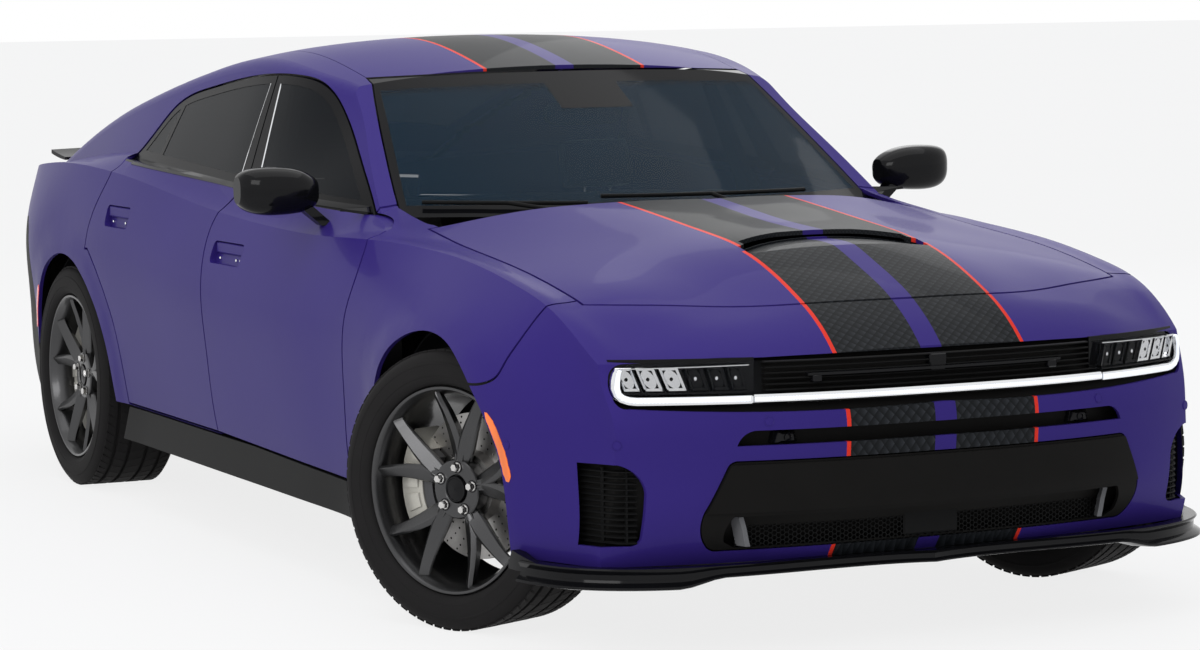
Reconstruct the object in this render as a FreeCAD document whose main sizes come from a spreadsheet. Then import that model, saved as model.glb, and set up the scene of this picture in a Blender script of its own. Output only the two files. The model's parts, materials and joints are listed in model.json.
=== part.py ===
import FreeCAD, Part
import Sketcher
import math
import os
from FreeCAD import Vector

# Four-door fastback muscle car, millimetres. The front faces -Y, the car's left is +X, up is +Z,
# and the origin is on the ground under the middle of the car.

os.makedirs("parts", exist_ok=True)
doc = FreeCAD.newDocument("muscle_car")
sheet = doc.addObject("Spreadsheet::Sheet", "Dimensions")

DIMENSIONS = [
    ("car_length", 5226),
    ("wheelbase", 3074),
    ("front_axle_y", -1724),
    ("hub_height", 362),
    ("kingpin_x", 865),
    ("rear_track_half", 858),
    ("tyre_radius", 362),
    ("tyre_width", 270),
    ("rim_radius", 262),
    ("steer_angle", 24),
    ("arch_radius", 415),
    ("skin", 12),
    ("door_thickness", 85),
    ("panel_gap", 7),
]
for row, (alias, value) in enumerate(DIMENSIONS, 1):
    sheet.set(f"A{row}", alias)
    sheet.set(f"B{row}", str(value))
    sheet.setAlias(f"B{row}", alias)
doc.recompute()


def dim(alias):
    return float(sheet.get(alias))


PARTS = []

class Size:
    """A length bound to the sheet: a share of one cell plus a fixed amount."""

    def __init__(self, alias, share=1.0, plus=0.0):
        self.value = dim(alias) * share + plus
        self.text = f"Dimensions.{alias} * {share} + {plus}"


def number(size):
    return size.value if isinstance(size, Size) else size


def bind(piece, prop, size):
    """Set a property to a number, or to an expression where the size comes from the sheet."""
    if isinstance(size, Size):
        piece.setExpression(prop, size.text)
    elif "." not in prop:
        setattr(piece, prop, size)


def place(piece, spot, angle=0.0):
    """Put a piece at a spot whose numbers may be bound, turned about the vertical."""
    turn = FreeCAD.Rotation(Vector(0, 0, 1), number(angle))
    piece.Placement = FreeCAD.Placement(Vector(*[number(v) for v in spot]), turn)
    for axis, value in zip("xyz", spot):
        bind(piece, "Placement.Base." + axis, value)


def new_body(name):
    return doc.addObject("PartDesign::Body", name)


def origin_part(body, role):
    return next(f for f in body.Origin.OriginFeatures if f.Role == role)


def new_sketch(body, name, role, shift=0.0):
    sketch = body.newObject("Sketcher::SketchObject", name)
    sketch.AttachmentSupport = [(origin_part(body, role), "")]
    sketch.MapMode = "FlatFace"
    if shift:
        sketch.AttachmentOffset = FreeCAD.Placement(Vector(0, 0, shift), FreeCAD.Rotation())
    return sketch


def polygon_sketch(body, name, role, corners, shift=0.0):
    """Closed outline of straight lines whose corners may be bound to the sheet."""
    sketch = new_sketch(body, name, role, shift)
    spots = [Vector(number(u), number(v), 0) for u, v in corners]
    count = len(spots)
    for i in range(count):
        sketch.addGeometry(Part.LineSegment(spots[i], spots[(i + 1) % count]), False)
    for i in range(count):
        sketch.addConstraint(Sketcher.Constraint("Coincident", i, 2, (i + 1) % count, 1))
    for i, corner in enumerate(corners):
        for kind, size in zip(("DistanceX", "DistanceY"), corner):
            index = sketch.addConstraint(Sketcher.Constraint(kind, -1, 1, i, 1, number(size)))
            if isinstance(size, Size):
                sketch.setExpression(f"Constraints[{index}]", size.text)
    return sketch


def circle_sketch(body, name, role, radius, shift=0.0, centre=(0.0, 0.0)):
    sketch = new_sketch(body, name, role, shift)
    sketch.addGeometry(Part.Circle(Vector(centre[0], centre[1], 0), Vector(0, 0, 1), number(radius)), False)
    index = sketch.addConstraint(Sketcher.Constraint("Radius", 0, number(radius)))
    if isinstance(radius, Size):
        sketch.setExpression(f"Constraints[{index}]", radius.text)
    return sketch


def revolved(body, name, corners, cut=False):
    """Revolution, or groove, about the wheel's axis of (x, radius) corners."""
    sketch = polygon_sketch(body, name + "_section", "XZ_Plane", corners)
    turn = body.newObject("PartDesign::Groove" if cut else "PartDesign::Revolution", name)
    turn.Profile = sketch
    turn.ReferenceAxis = (sketch, ["H_Axis"])
    turn.Angle = 360
    return turn


def padded(body, name, sketch, length, taper=0.0):
    pad = body.newObject("PartDesign::Pad", name)
    pad.Profile = sketch
    bind(pad, "Length", length)
    pad.TaperAngle = taper
    return pad


def pocketed(body, name, sketch, length):
    pocket = body.newObject("PartDesign::Pocket", name)
    pocket.Profile = sketch
    pocket.Length = length
    pocket.Reversed = True
    return pocket


def repeated(body, name, feature_list, count):
    pattern = body.newObject("PartDesign::PolarPattern", name)
    pattern.Originals = feature_list
    pattern.Axis = (origin_part(body, "X_Axis"), [""])
    pattern.Angle = 360
    pattern.Occurrences = count
    body.Tip = pattern
    return pattern


def node(label, links, spot=(0, 0, 0), angle=0.0):
    """A sub-part of the car made of one or more finished solids."""
    piece = doc.addObject("Part::Compound", label)
    piece.Links = links
    piece.Label = label
    place(piece, spot, angle)
    PARTS.append(piece)
    return piece


class Curve:
    """Natural cubic spline through (position, value) pairs, straight beyond its ends."""

    def __init__(self, pairs):
        self.at = [p[0] for p in pairs]
        self.value = [p[1] for p in pairs]
        count = len(pairs)
        gap = [self.at[i + 1] - self.at[i] for i in range(count - 1)]
        slope = [(self.value[i + 1] - self.value[i]) / gap[i] for i in range(count - 1)]
        upper = [0.0] * count
        right = [0.0] * count
        for i in range(1, count - 1):
            pivot = 2 * (gap[i - 1] + gap[i]) - gap[i - 1] * upper[i - 1]
            upper[i] = gap[i] / pivot
            right[i] = (6 * (slope[i] - slope[i - 1]) - gap[i - 1] * right[i - 1]) / pivot
        self.bend = [0.0] * count
        for i in range(count - 2, 0, -1):
            self.bend[i] = right[i] - upper[i] * self.bend[i + 1]
        self.gap = gap
        self.slope = slope

    def __call__(self, place):
        last = len(self.gap) - 1
        i = 0
        while i < last and place > self.at[i + 1]:
            i += 1
        step = self.gap[i]
        low, high = self.bend[i], self.bend[i + 1]
        start = self.slope[i] - step * (2 * low + high) / 6
        t = place - self.at[i]
        if t < 0:
            return self.value[i] + start * t
        if t > step:
            end = self.slope[i] + step * (low + 2 * high) / 6
            return self.value[i + 1] + end * (t - step)
        return self.value[i] + start * t + low * t * t / 2 + (high - low) * t ** 3 / (6 * step)


def table_curves(columns, rows):
    """One curve per column after the first, which holds the positions."""
    return {name: Curve([(r[0], r[i + 1]) for r in rows]) for i, name in enumerate(columns)}


def spread(low, high, count):
    return [low + (high - low) * i / (count - 1) for i in range(count)]


def sharpened(points):
    """Control points of a cubic B-spline that runs through about the given points."""
    inner = [p - (q - p * 2 + r) / 6 for q, p, r in zip(points, points[1:], points[2:])]
    return [points[0]] + inner + [points[-1]]


def clamped_knots(count):
    spans = count - 3
    return [i / spans for i in range(spans + 1)], [4] + [1] * (spans - 1) + [4]


def skin_face(point, u_values, v_values):
    """Smooth face through the grid of point(u, v)."""
    rows = [sharpened([point(u, v) for v in v_values]) for u in u_values]
    columns = [sharpened(list(column)) for column in zip(*rows)]
    poles = [list(row) for row in zip(*columns)]
    u_knots, u_times = clamped_knots(len(poles))
    v_knots, v_times = clamped_knots(len(poles[0]))
    surface = Part.BSplineSurface()
    surface.buildFromPolesMultsKnots(poles, u_times, v_times, u_knots, v_knots, False, False, 3, 3)
    return surface.toShape()


# Side of the lower body. Crest: the crease along the shoulder. The other columns are half-widths at
# 72 and 38 percent of the way up from the sill to the crest, and at the sill.
FLANK = table_curves(
    ("crest_z", "crest_x", "upper", "middle", "sill"),
    [
        (-2750, 470, 720, 720, 722, 725),
        (-2370, 740, 838, 852, 862, 866),
        (-2200, 836, 855, 935, 948, 940),
        (-2000, 890, 856, 985, 998, 980),
        (-1724, 931, 855, 998, 1003, 984),
        (-1400, 954, 862, 995, 1003, 983),
        (-1115, 962, 900, 990, 990, 965),
        (-800, 953, 925, 997, 992, 962),
        (-450, 955, 936, 1002, 994, 960),
        (-100, 969, 940, 1004, 995, 960),
        (300, 996, 943, 1006, 994, 958),
        (700, 1034, 949, 1006, 993, 957),
        (1100, 1058, 950, 1004, 990, 956),
        (1350, 1064, 946, 997, 981, 950),
        (1750, 1050, 918, 985, 975, 945),
        (2000, 1030, 880, 930, 925, 905),
        (2200, 1008, 815, 848, 848, 835),
        (2400, 985, 725, 752, 755, 745),
        (2750, 945, 540, 560, 562, 555),
    ],
)
SILL_Z = 310.0
ARCH_CENTRES = (dim("front_axle_y"), dim("front_axle_y") + dim("wheelbase"))
FLARE_OUT = 10.0
FLARE_FROM, FLARE_TO = 492.0, 420.0


def flare(y, z):
    """How far the skin swells out towards the edge of the nearer wheel arch."""
    reach = min(math.hypot(y - centre, z - dim("hub_height")) for centre in ARCH_CENTRES)
    t = min(1.0, max(0.0, (FLARE_FROM - reach) / (FLARE_FROM - FLARE_TO)))
    return FLARE_OUT * t * t * (3 - 2 * t)


def half_width(y, z):
    crest_z = FLANK["crest_z"](y)
    rise = crest_z - SILL_Z
    section = Curve(
        [
            (140, FLANK["sill"](y) - 45),
            (SILL_Z, FLANK["sill"](y)),
            (SILL_Z + 0.38 * rise, FLANK["middle"](y)),
            (SILL_Z + 0.72 * rise, FLANK["upper"](y)),
            (crest_z, FLANK["crest_x"](y)),
        ]
    )
    return section(z) + flare(y, z)


# Height of the top skin along lines at fixed shares of the crest's half-width. At the front these lines
# are swept back with the nose.
TOP_LINES = (
    (0.0, Curve([(-2750, 520), (-2540, 755), (-2466, 812), (-2398, 857), (-2300, 902), (-2200, 939),
                 (-2111, 971), (-1800, 1008), (-1362, 1052), (-1000, 1075), (0, 1100), (1300, 1120),
                 (1900, 1075), (2300, 1035), (2600, 1005), (2750, 990)])),
    (0.31, Curve([(-2750, 520), (-2540, 752), (-2460, 812), (-2376, 857), (-2200, 928), (-2050, 968),
                  (-1800, 1001), (-1350, 1046), (-1000, 1070), (0, 1100), (1300, 1120), (1900, 1072),
                  (2300, 1032), (2600, 1002), (2750, 987)])),
    (0.62, Curve([(-2750, 520), (-2540, 748), (-2480, 790), (-2380, 838), (-2250, 884), (-2035, 932),
                  (-1708, 970), (-1350, 1018), (-1050, 1050), (0, 1100), (1300, 1115), (1900, 1062),
                  (2300, 1024), (2600, 995), (2750, 980)])),
    (0.82, Curve([(-2750, 540), (-2540, 740), (-2453, 790), (-2403, 820), (-2303, 864), (-2075, 908),
                  (-1720, 947), (-1400, 977), (-1150, 998), (-950, 1018), (-700, 1066), (0, 1110),
                  (1300, 1108), (1900, 1050), (2300, 1014), (2600, 985), (2750, 970)])),
    (0.91, Curve([(-2750, 550), (-2540, 736), (-2435, 800), (-2335, 849), (-2228, 874), (-2098, 895),
                  (-1725, 935), (-1400, 960), (-1150, 982), (-900, 1000), (-600, 1042), (-400, 1078),
                  (0, 1112), (1000, 1110), (1300, 1090), (1900, 1038), (2300, 1004), (2600, 976), (2750, 960)])),
    (0.955, Curve([(-2750, 550), (-2540, 736), (-2453, 797), (-2353, 843), (-2110, 893), (-1728, 934),
                   (-1400, 958), (-1150, 968), (-800, 982), (-500, 1004), (0, 1032), (1000, 1082),
                   (1300, 1070), (1900, 1030), (2300, 997), (2600, 970), (2750, 954)])),
)
NOSE_SWEEP = 165.0


def nose_fade(y):
    """1 at the nose, falling smoothly to 0 at the front axle."""
    t = min(1.0, max(0.0, (-1450 - y) / 800))
    return t * t * (3 - 2 * t)


def top_height(x, y):
    share = abs(x) / FLANK["crest_x"](y)
    crest = FLANK["crest_z"](y)
    straight = y - NOSE_SWEEP * (abs(x) / 840) ** 2.6 * nose_fade(y)
    pairs = [(-s, line(straight)) for s, line in reversed(TOP_LINES[1:])]
    pairs += [(s, line(straight)) for s, line in TOP_LINES]
    pairs += [(1.0, crest), (1.08, crest - 30), (1.35, crest - 60)]
    return Curve(pairs)(share)


# Canopy: half-width of the glasshouse sides at the belt and how far it leans in, height of the roof.
BELT = table_curves(
    ("belt_z", "belt_x"),
    [
        (-1300, 1012, 640),
        (-1100, 1014, 722),
        (-890, 1020, 793),
        (-700, 1029, 842),
        (-500, 1038, 869),
        (-250, 1047, 887),
        (0, 1056, 892),
        (418, 1075, 886),
        (984, 1097, 868),
        (1400, 1105, 835),
        (2000, 1105, 770),
        (2700, 1105, 690),
    ],
)
TUMBLE = Curve([(-1300, 0.8), (-900, 0.8), (-617, 0.76), (-452, 0.66), (-356, 0.57), (-167, 0.45), (0, 0.413),
                (500, 0.413), (2700, 0.413)])
ROOF = Curve([(-1300, 1120), (-900, 1262), (-472, 1389), (-200, 1446), (126, 1484), (548, 1452),
              (920, 1392), (1214, 1336), (1523, 1266), (1848, 1168), (2097, 1080), (2300, 1004), (2700, 850)])


def canopy_width(y, z):
    above = z - BELT["belt_z"](y)
    return BELT["belt_x"](y) - TUMBLE(y) * above - 0.00012 * above * above


def roof_height(x, y):
    return ROOF(y) - 8.5e-5 * x * x - 7e-11 * x ** 4


def windshield_y(x, z):
    lean = (1384 - z) / 0.56
    sweep = 0.00024 + 0.00018 * (1384 - z) / 384
    square = x * x if abs(x) < 720 else 720 * 720 + 300 * (abs(x) - 720)
    return -472 - lean + sweep * square


# Nose: plan sweep of the front face at a few heights.
NOSE = table_curves(
    ("middle", "sweep"),
    [
        (100, -2440, 90),
        (243, -2508, 110),
        (370, -2601, 175),
        (500, -2609, 175),
        (600, -2613, 185),
        (680, -2572, 175),
        (755, -2540, 165),
        (900, -2546, 165),
        (1200, -2552, 165),
    ],
)


def nose_y(x, z):
    share = abs(x) / 840
    return NOSE["middle"](z) + NOSE["sweep"](z) * share ** 2.6


TAIL = table_curves(
    ("middle", "sweep"),
    [
        (100, 2420, 110),
        (300, 2480, 120),
        (420, 2560, 140),
        (620, 2590, 150),
        (800, 2575, 150),
        (960, 2600, 150),
        (1200, 2640, 150),
    ],
)


def tail_y(x, z):
    share = abs(x) / 840
    return TAIL["middle"](z) - TAIL["sweep"](z) * share ** 2.2


def outer_block(inset):
    """The lower body as one solid, its skin moved inwards by the inset."""
    ys = [-2750, -2560, -2440, -2370, -2290] + spread(-2220, -1225, 17)
    ys += [-1115, -960, -800, -620, -450, -280, -100, 100, 300, 500, 700] + spread(850, 1850, 17)
    ys += [1930, 2020, 2110, 2200, 2300, 2400, 2550, 2750]
    zs = [120, 200, 260] + spread(310, 850, 10) + [900, 945, 990, 1040, 1100, 1160]
    left = skin_face(lambda y, z: Vector(half_width(y, z) - inset, y, z), ys, zs)
    left = left.extrude(Vector(-2300, 0, 0))
    right = skin_face(lambda y, z: Vector(inset - half_width(y, z), y, z), ys, zs)
    right = right.extrude(Vector(2300, 0, 0))
    shares = [-1.35, -1.2, -1.08, -1.0, -0.955, -0.91, -0.82, -0.7, -0.55, -0.42, -0.31, -0.2, -0.1]
    shares += [0.0] + [-s for s in reversed(shares)]

    def top_point(y, share):
        x = share * FLANK["crest_x"](y)
        return Vector(x, y, top_height(x, y) - inset)

    top = skin_face(top_point, ys, shares).extrude(Vector(0, 0, -1500))
    xs = spread(-1100, 1100, 23)
    heights = [60, 160, 243, 310, 370, 430, 500, 560, 620, 680, 720, 755, 800, 900, 1000, 1200]
    front = skin_face(lambda x, z: Vector(x, nose_y(x, z) + inset, z), xs, heights)
    front = front.extrude(Vector(0, 6000, 0))
    back = skin_face(lambda x, z: Vector(x, tail_y(x, z) - inset, z), xs, heights)
    back = back.extrude(Vector(0, -6000, 0))
    return left.common(right).common(front).common(back).common(top)


def canopy_block(inset):
    ys = [-1300, -1180, -1046, -900, -720, -564, -380, -190, 0, 210, 418, 600, 800, 984, 1200, 1400, 1650,
          1900, 2150, 2400, 2700]
    zs = spread(900, 1560, 14)
    left = skin_face(lambda y, z: Vector(canopy_width(y, z) - inset, y, z), ys, zs)
    left = left.extrude(Vector(-2300, 0, 0))
    right = skin_face(lambda y, z: Vector(inset - canopy_width(y, z), y, z), ys, zs)
    right = right.extrude(Vector(2300, 0, 0))
    xs = spread(-1000, 1000, 21)
    roof = skin_face(lambda x, y: Vector(x, y, roof_height(x, y) - inset), xs, ys)
    roof = roof.extrude(Vector(0, 0, -1000))
    return left.common(right).common(roof)




def line_or_curve(points):
    """Edge through the points: a line through two, an arc through three, a spline through more."""
    if len(points) == 2:
        return Part.LineSegment(points[0], points[1]).toShape()
    if len(points) == 3:
        return Part.Arc(points[0], points[1], points[2]).toShape()
    spline = Part.BSplineCurve()
    spline.interpolate(points)
    return spline.toShape()


def outline_face(chains, place, grow=0.0):
    """Flat face inside chains of points that meet end to end, grown outwards by an offset."""
    edges = [line_or_curve([place(*p) for p in chain]) for chain in chains]
    face = Part.Face(Part.Wire(edges))
    if not grow:
        return face
    moved = face.makeOffset2D(grow).OuterWire.OrderedEdges
    moved = [e.toNurbs().Edges[0] if e.Curve.TypeId == "Part::GeomOffsetCurve" else e for e in moved]
    return Part.Face(Part.Wire(moved))


def side_prism(chains, grow=0.0, low=-1200.0, high=1200.0):
    """Solid cut out in the side view: the chains hold (y, z)."""
    face = outline_face(chains, lambda y, z: Vector(low, y, z), grow)
    return face.extrude(Vector(high - low, 0, 0))


def plan_prism(chains, grow=0.0, low=0.0, high=1700.0):
    """Solid cut out in the plan view: the chains hold (x, y)."""
    face = outline_face(chains, lambda x, y: Vector(x, y, low), grow)
    return face.extrude(Vector(0, 0, high - low))


def front_prism(chains, grow=0.0, low=-2800.0, high=0.0):
    """Solid cut out in the front view: the chains hold (x, z)."""
    face = outline_face(chains, lambda x, z: Vector(x, low, z), grow)
    return face.extrude(Vector(0, high - low, 0))


def block(x0, x1, y0, y1, z0, z1):
    return Part.makeBox(x1 - x0, y1 - y0, z1 - z0, Vector(x0, y0, z0))


def cylinder_x(radius, x0, x1, y, z):
    return Part.makeCylinder(radius, x1 - x0, Vector(x0, y, z), Vector(1, 0, 0))


def pair(shape):
    return Part.makeCompound([shape, shape.mirror(Vector(0, 0, 0), Vector(1, 0, 0))])


def fused(shapes):
    whole = shapes[0].multiFuse(shapes[1:]) if len(shapes) > 1 else shapes[0]
    return whole.removeSplitter()


def solids_of(shape, least=500.0):
    kept = [s for s in shape.Solids if s.Volume > least]
    return kept[0] if len(kept) == 1 else Part.makeCompound(kept)


def feature(label, shape, least=500.0):
    """A free-form piece as a feature of the document, without solids smaller than the least."""
    piece = doc.addObject("Part::Feature", label)
    piece.Shape = solids_of(shape, least)
    piece.Label = label
    PARTS.append(piece)
    return piece


AXLE_F = dim("front_axle_y")
AXLE_R = AXLE_F + dim("wheelbase")
HUB_Z = dim("hub_height")
ARCH = dim("arch_radius")
GAP = dim("panel_gap") / 2

# Side view outlines, as (y, z).
WINDOW_LINE = [(1007, 1096), (412, 1075), (-29, 1056), (-495, 1033), (-885, 1014)]
WINDOW_ARCH = [(-885, 1014), (-772, 1088), (-618, 1178), (-443, 1281), (-345, 1334), (-264, 1362),
               (-145, 1378),
               (61, 1378), (289, 1359), (528, 1327), (690, 1298), (790, 1258), (859, 1203), (1007, 1096)]
WINDOWS = [WINDOW_LINE, WINDOW_ARCH]
DOOR_SPLIT = [(-95, 1048), (-60, 1035), (0, 988), (22, 940), (18, 880), (-2, 800), (-16, 700), (-16, 600),
              (-10, 500), (-8, 400), (-12, 322)]
DOOR_FRONT = [(-1085, 302), (-1086, 360), (-1094, 472), (-1108, 583), (-1124, 680), (-1130, 760),
              (-1126, 850), (-1108, 906), (-1085, 955), (-1066, 982)]
DOOR_SHOULDER = [(-1066, 982), (-980, 1002), (-885, 1014)]
DOOR_REAR = [(1112, 800), (1092, 855), (1050, 943), (998, 1026), (985, 1060), (1007, 1096)]
FLARE = 520.0


def flare_point(z):
    return AXLE_R - math.sqrt(FLARE ** 2 - (z - 354) ** 2), z


LOWER_DOORS = [
    list(reversed(WINDOW_LINE)),
    list(reversed(DOOR_REAR)),
    [DOOR_REAR[0], flare_point(801)],
    [flare_point(801), flare_point(600), flare_point(322)],
    [flare_point(322), (DOOR_SPLIT[-1][0], 322)],
    [(DOOR_SPLIT[-1][0], 322), (-500, 312), DOOR_FRONT[0]],
    DOOR_FRONT,
    DOOR_SHOULDER,
]


def windshield_cut(inset):
    """Everything behind the windshield, moved back by the inset."""
    xs = spread(-1000, 1000, 21)
    zs = spread(900, 1560, 10)
    face = skin_face(lambda x, z: Vector(x, windshield_y(x, z) + inset, z), xs, zs)
    return face.extrude(Vector(0, 5000, 0))


CANT_RADIUS = 70.0


def glasshouse(inset):
    """Cabin top as one solid with rounded cant rails, behind the windshield."""
    solid = canopy_block(inset)
    rails = [e for e in solid.Edges if e.BoundBox.YLength > 1000 and e.BoundBox.ZMax > 1300
             and min(abs(e.BoundBox.XMin), abs(e.BoundBox.XMax)) > 400]
    solid = solid.makeFillet(CANT_RADIUS - inset, rails)
    limit = block(-1100, 1100, -1400, 2300, 960 + inset / 2, 1600)
    return solid.common(windshield_cut(inset * 1.15)).common(limit)


def lower_side(inset):
    """Everything inside one moved-in flank of each side."""
    ys = spread(-1300, 1300, 40)
    zs = [200, 260] + spread(310, 850, 10) + [900, 945, 990, 1040, 1100]
    left = skin_face(lambda y, z: Vector(half_width(y, z) - inset, y, z), ys, zs).extrude(Vector(-2300, 0, 0))
    right = skin_face(lambda y, z: Vector(inset - half_width(y, z), y, z), ys, zs).extrude(Vector(2300, 0, 0))
    return left.common(right)


VENT_HALF = 263.0
VENT_DROP = 20.0


def vent_front(x):
    return -2111 + 21 * (x / VENT_HALF) ** 2


def vent_rear(x):
    return -1962 - 59 * (x / VENT_HALF) ** 2


def hood_vent(inset):
    """Wedge above the dropped ramp that leads to the vent in the hood's middle."""
    half = VENT_HALF - inset
    xs = spread(-half - 20, half + 20, 9)
    ys = spread(-2160, -1920, 9)

    def ramp(x, y):
        share = (y - vent_front(x)) / (vent_rear(x) - vent_front(x))
        return Vector(x, y, top_height(x, y) - inset - VENT_DROP * share)

    above = skin_face(ramp, xs, ys).extrude(Vector(0, 0, 90))
    edges = [[(x, line(x) + shift) for x in (-half, 0.0, half)] for line, shift in
             ((vent_front, 4.0), (vent_rear, inset))]
    front_edge, rear_edge = edges
    outline = [front_edge, [front_edge[-1], rear_edge[-1]], rear_edge[::-1], [rear_edge[0], front_edge[0]]]
    return above.common(plan_prism(outline, 0, 800, 1200))


SKIN = dim("skin")
lower = outer_block(0).cut(hood_vent(0))
lower_in = outer_block(SKIN).cut(hood_vent(SKIN))
lower_40 = outer_block(40)
PROUD = 8.0
proud = lower.translated(Vector(0, -PROUD, 0))
upper = glasshouse(0)
upper_in = glasshouse(SKIN)
whole = lower.fuse(upper)
hollow = lower_in.fuse(upper_in)
shell = whole.cut(hollow)


# Plan outlines, as (x, y).
HOOD_FRONT = [(0, -2400), (158, -2392), (263, -2376), (520, -2296), (700, -2216), (775, -2172)]
HOOD_SIDE = [(775, -2172), (780, -1800), (766, -1180)]
HOOD_REAR = [(766, -1180), (700, -1200), (500, -1262), (264, -1310), (0, -1362)]


def mirror_chain(chain):
    return [(-x, y) for x, y in reversed(chain)]


HOOD = [HOOD_FRONT, HOOD_SIDE, HOOD_REAR, mirror_chain(HOOD_REAR), mirror_chain(HOOD_SIDE),
        mirror_chain(HOOD_FRONT)]
HATCH_Y = 655.0
TAIL_END = 2800.0
HATCH_SIDE = [(560, HATCH_Y), (628, 1200), (645, 1700)]
HATCH = [[(-560, HATCH_Y), (560, HATCH_Y)], HATCH_SIDE, [(645, 1700), (645, TAIL_END)],
         [(645, TAIL_END), (-645, TAIL_END)], [(-645, TAIL_END), (-645, 1700)], mirror_chain(HATCH_SIDE)]
BACKLIGHT_SIDE = [(520, 730), (578, 1200), (592, 1850)]
BACKLIGHT = [[(-520, 730), (520, 730)], BACKLIGHT_SIDE, [(592, 1850), (-592, 1850)],
             mirror_chain(BACKLIGHT_SIDE)]
SEAM = [(606, -420), (606, 100), (580, HATCH_Y)]
ROOF_PANEL = [[(-606, -420), (606, -420)], SEAM, [(580, HATCH_Y), (-580, HATCH_Y)], mirror_chain(SEAM)]
WINDSHIELD_SIDE = [(742, 1000), (712, 1100), (677, 1200), (639, 1300), (607, 1372)]
WINDSHIELD_TOP = [(607, 1372), (300, 1383), (0, 1386), (-300, 1383), (-607, 1372)]
WINDSHIELD = [WINDSHIELD_SIDE, WINDSHIELD_TOP, mirror_chain(WINDSHIELD_SIDE), [(-742, 1000), (742, 1000)]]

# Side outlines of the ends, as (y, z).
NOSE_SPLIT = [(-2180, 900), (-2136, 853), (-2123, 776), (-2110, 722), (-2098, 688), (-2065, 668),
              (-1985, 661)]
NOSE_ZONE = [[(-2900, 150), (-2900, 900)], [(-2900, 900), NOSE_SPLIT[0]], NOSE_SPLIT,
             [NOSE_SPLIT[-1], (-1900, 661)], [(-1900, 661), (-1900, 150)], [(-1900, 150), (-2900, 150)]]
TAIL_ZONE = [[(1700, 100), (1830, 820)], [(1830, 820), (1875, 858)], [(1875, 858), (2430, 845)],
             [(2430, 845), (2500, 796)], [(2500, 796), (TAIL_END, 796)], [(TAIL_END, 796), (TAIL_END, 100)],
             [(TAIL_END, 100), (1700, 100)]]
COWL_Y = -885.0
HOOD_LOW = 700.0
SILL_LINE = 318.0
HATCH_LOW = 915.0

ARCH_DROP = 8.0


def arch_cylinder(radius, x0, x1, axle_y):
    """Round room about an axle, its middle a little under the hub."""
    return cylinder_x(radius, x0, x1, axle_y, HUB_Z - ARCH_DROP)


front_arches = arch_cylinder(ARCH, -1200, 1200, AXLE_F).cut(block(-520, 520, -2400, -1000, -200, 1000))
rear_arches = arch_cylinder(ARCH, -1200, 1200, AXLE_R).cut(block(-620, 620, 600, 2200, -200, 1000))

vent_slot = block(-VENT_HALF + 22, VENT_HALF - 22, -2022, -1940, 960, 1040).common(
    hood_vent(-2).translated(Vector(0, 34, 2)))
hood = shell.common(plan_prism(HOOD, -GAP, HOOD_LOW, 1300)).cut(vent_slot)
fascia_shell = shell.common(side_prism(NOSE_ZONE, -GAP)).cut(plan_prism(HOOD, GAP, HOOD_LOW, 1300))
fascia_shell = fascia_shell.cut(front_arches)

# Front openings, as (x, z) outlines of the left half closed through the middle.
SLOT = [[(0, 745), (400, 743), (780, 734)], [(780, 734), (808, 722), (818, 700)],
        [(818, 700), (821, 680), (816, 655)], [(816, 655), (806, 634), (782, 628)],
        [(782, 628), (600, 619), (0, 618)]]
SLOT_TWO = [[(0, 572), (500, 572)], [(500, 572), (530, 562), (548, 535)], [(548, 535), (0, 535)]]
BUMPER = [[(0, 499), (548, 499)], [(548, 499), (563, 493), (572, 480)], [(572, 480), (622, 375)],
          [(622, 375), (625, 330), (606, 290)], [(606, 290), (590, 276), (565, 272)], [(565, 272), (0, 272)]]
INTAKE = [[(0, 362), (548, 362)], [(548, 362), (564, 330), (560, 296)], [(560, 296), (530, 280)],
          [(530, 280), (0, 280)]]
BAR_LOW = 372.0


def front_opening(half, grow=0.0):
    """Prism from the left half of a front outline and its mirror image."""
    chains = half + [mirror_chain(c) for c in reversed(half)]
    return front_prism(chains, grow, -2900, -1900)


VENT = [[(876, 494), (818, 495)], [(818, 495), (775, 470), (754, 425)], [(754, 425), (756, 318)],
        [(756, 318), (763, 300), (782, 293)], [(782, 293), (876, 292)], [(876, 292), (876, 494)]]
slot = front_opening(SLOT)
slot_two = front_opening(SLOT_TWO)
bumper_hole = front_opening(BUMPER)
vent_left = front_prism(VENT, 0, -2900, -1900)
vent_right = front_prism([mirror_chain(c) for c in VENT], 0, -2900, -1900)
LIP_LOW = 240.0
front_fascia = fascia_shell.cut(slot.fuse([slot_two, bumper_hole, vent_left, vent_right]))
front_fascia = front_fascia.cut(block(-1200, 1200, -2900, -1800, 0, LIP_LOW))

SILL_FRONT = (-1086, SILL_LINE)
FENDER_ZONE = [[(-2300, SILL_LINE), (-2300, 1200)], [(-2300, 1200), (COWL_Y, 1200)],
               [(COWL_Y, 1200), DOOR_SHOULDER[-1]], list(reversed(DOOR_SHOULDER)),
               list(reversed(DOOR_FRONT[1:])), [DOOR_FRONT[1], SILL_FRONT],
               [SILL_FRONT, (-2300, SILL_LINE)]]
cowl_zone = block(-740, 740, -1400, -900, 700, 1200)
front_fenders = shell.common(side_prism(FENDER_ZONE, -GAP)).cut(plan_prism(HOOD, GAP, HOOD_LOW, 1300))
front_fenders = front_fenders.cut(side_prism(NOSE_ZONE, GAP)).cut(front_arches).cut(cowl_zone)
front_fenders = front_fenders.cut(block(-740, 740, -2400, -1000, 0, 1300))
front_fenders = front_fenders.cut(front_prism(WINDSHIELD, GAP, -1300, -300))



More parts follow.
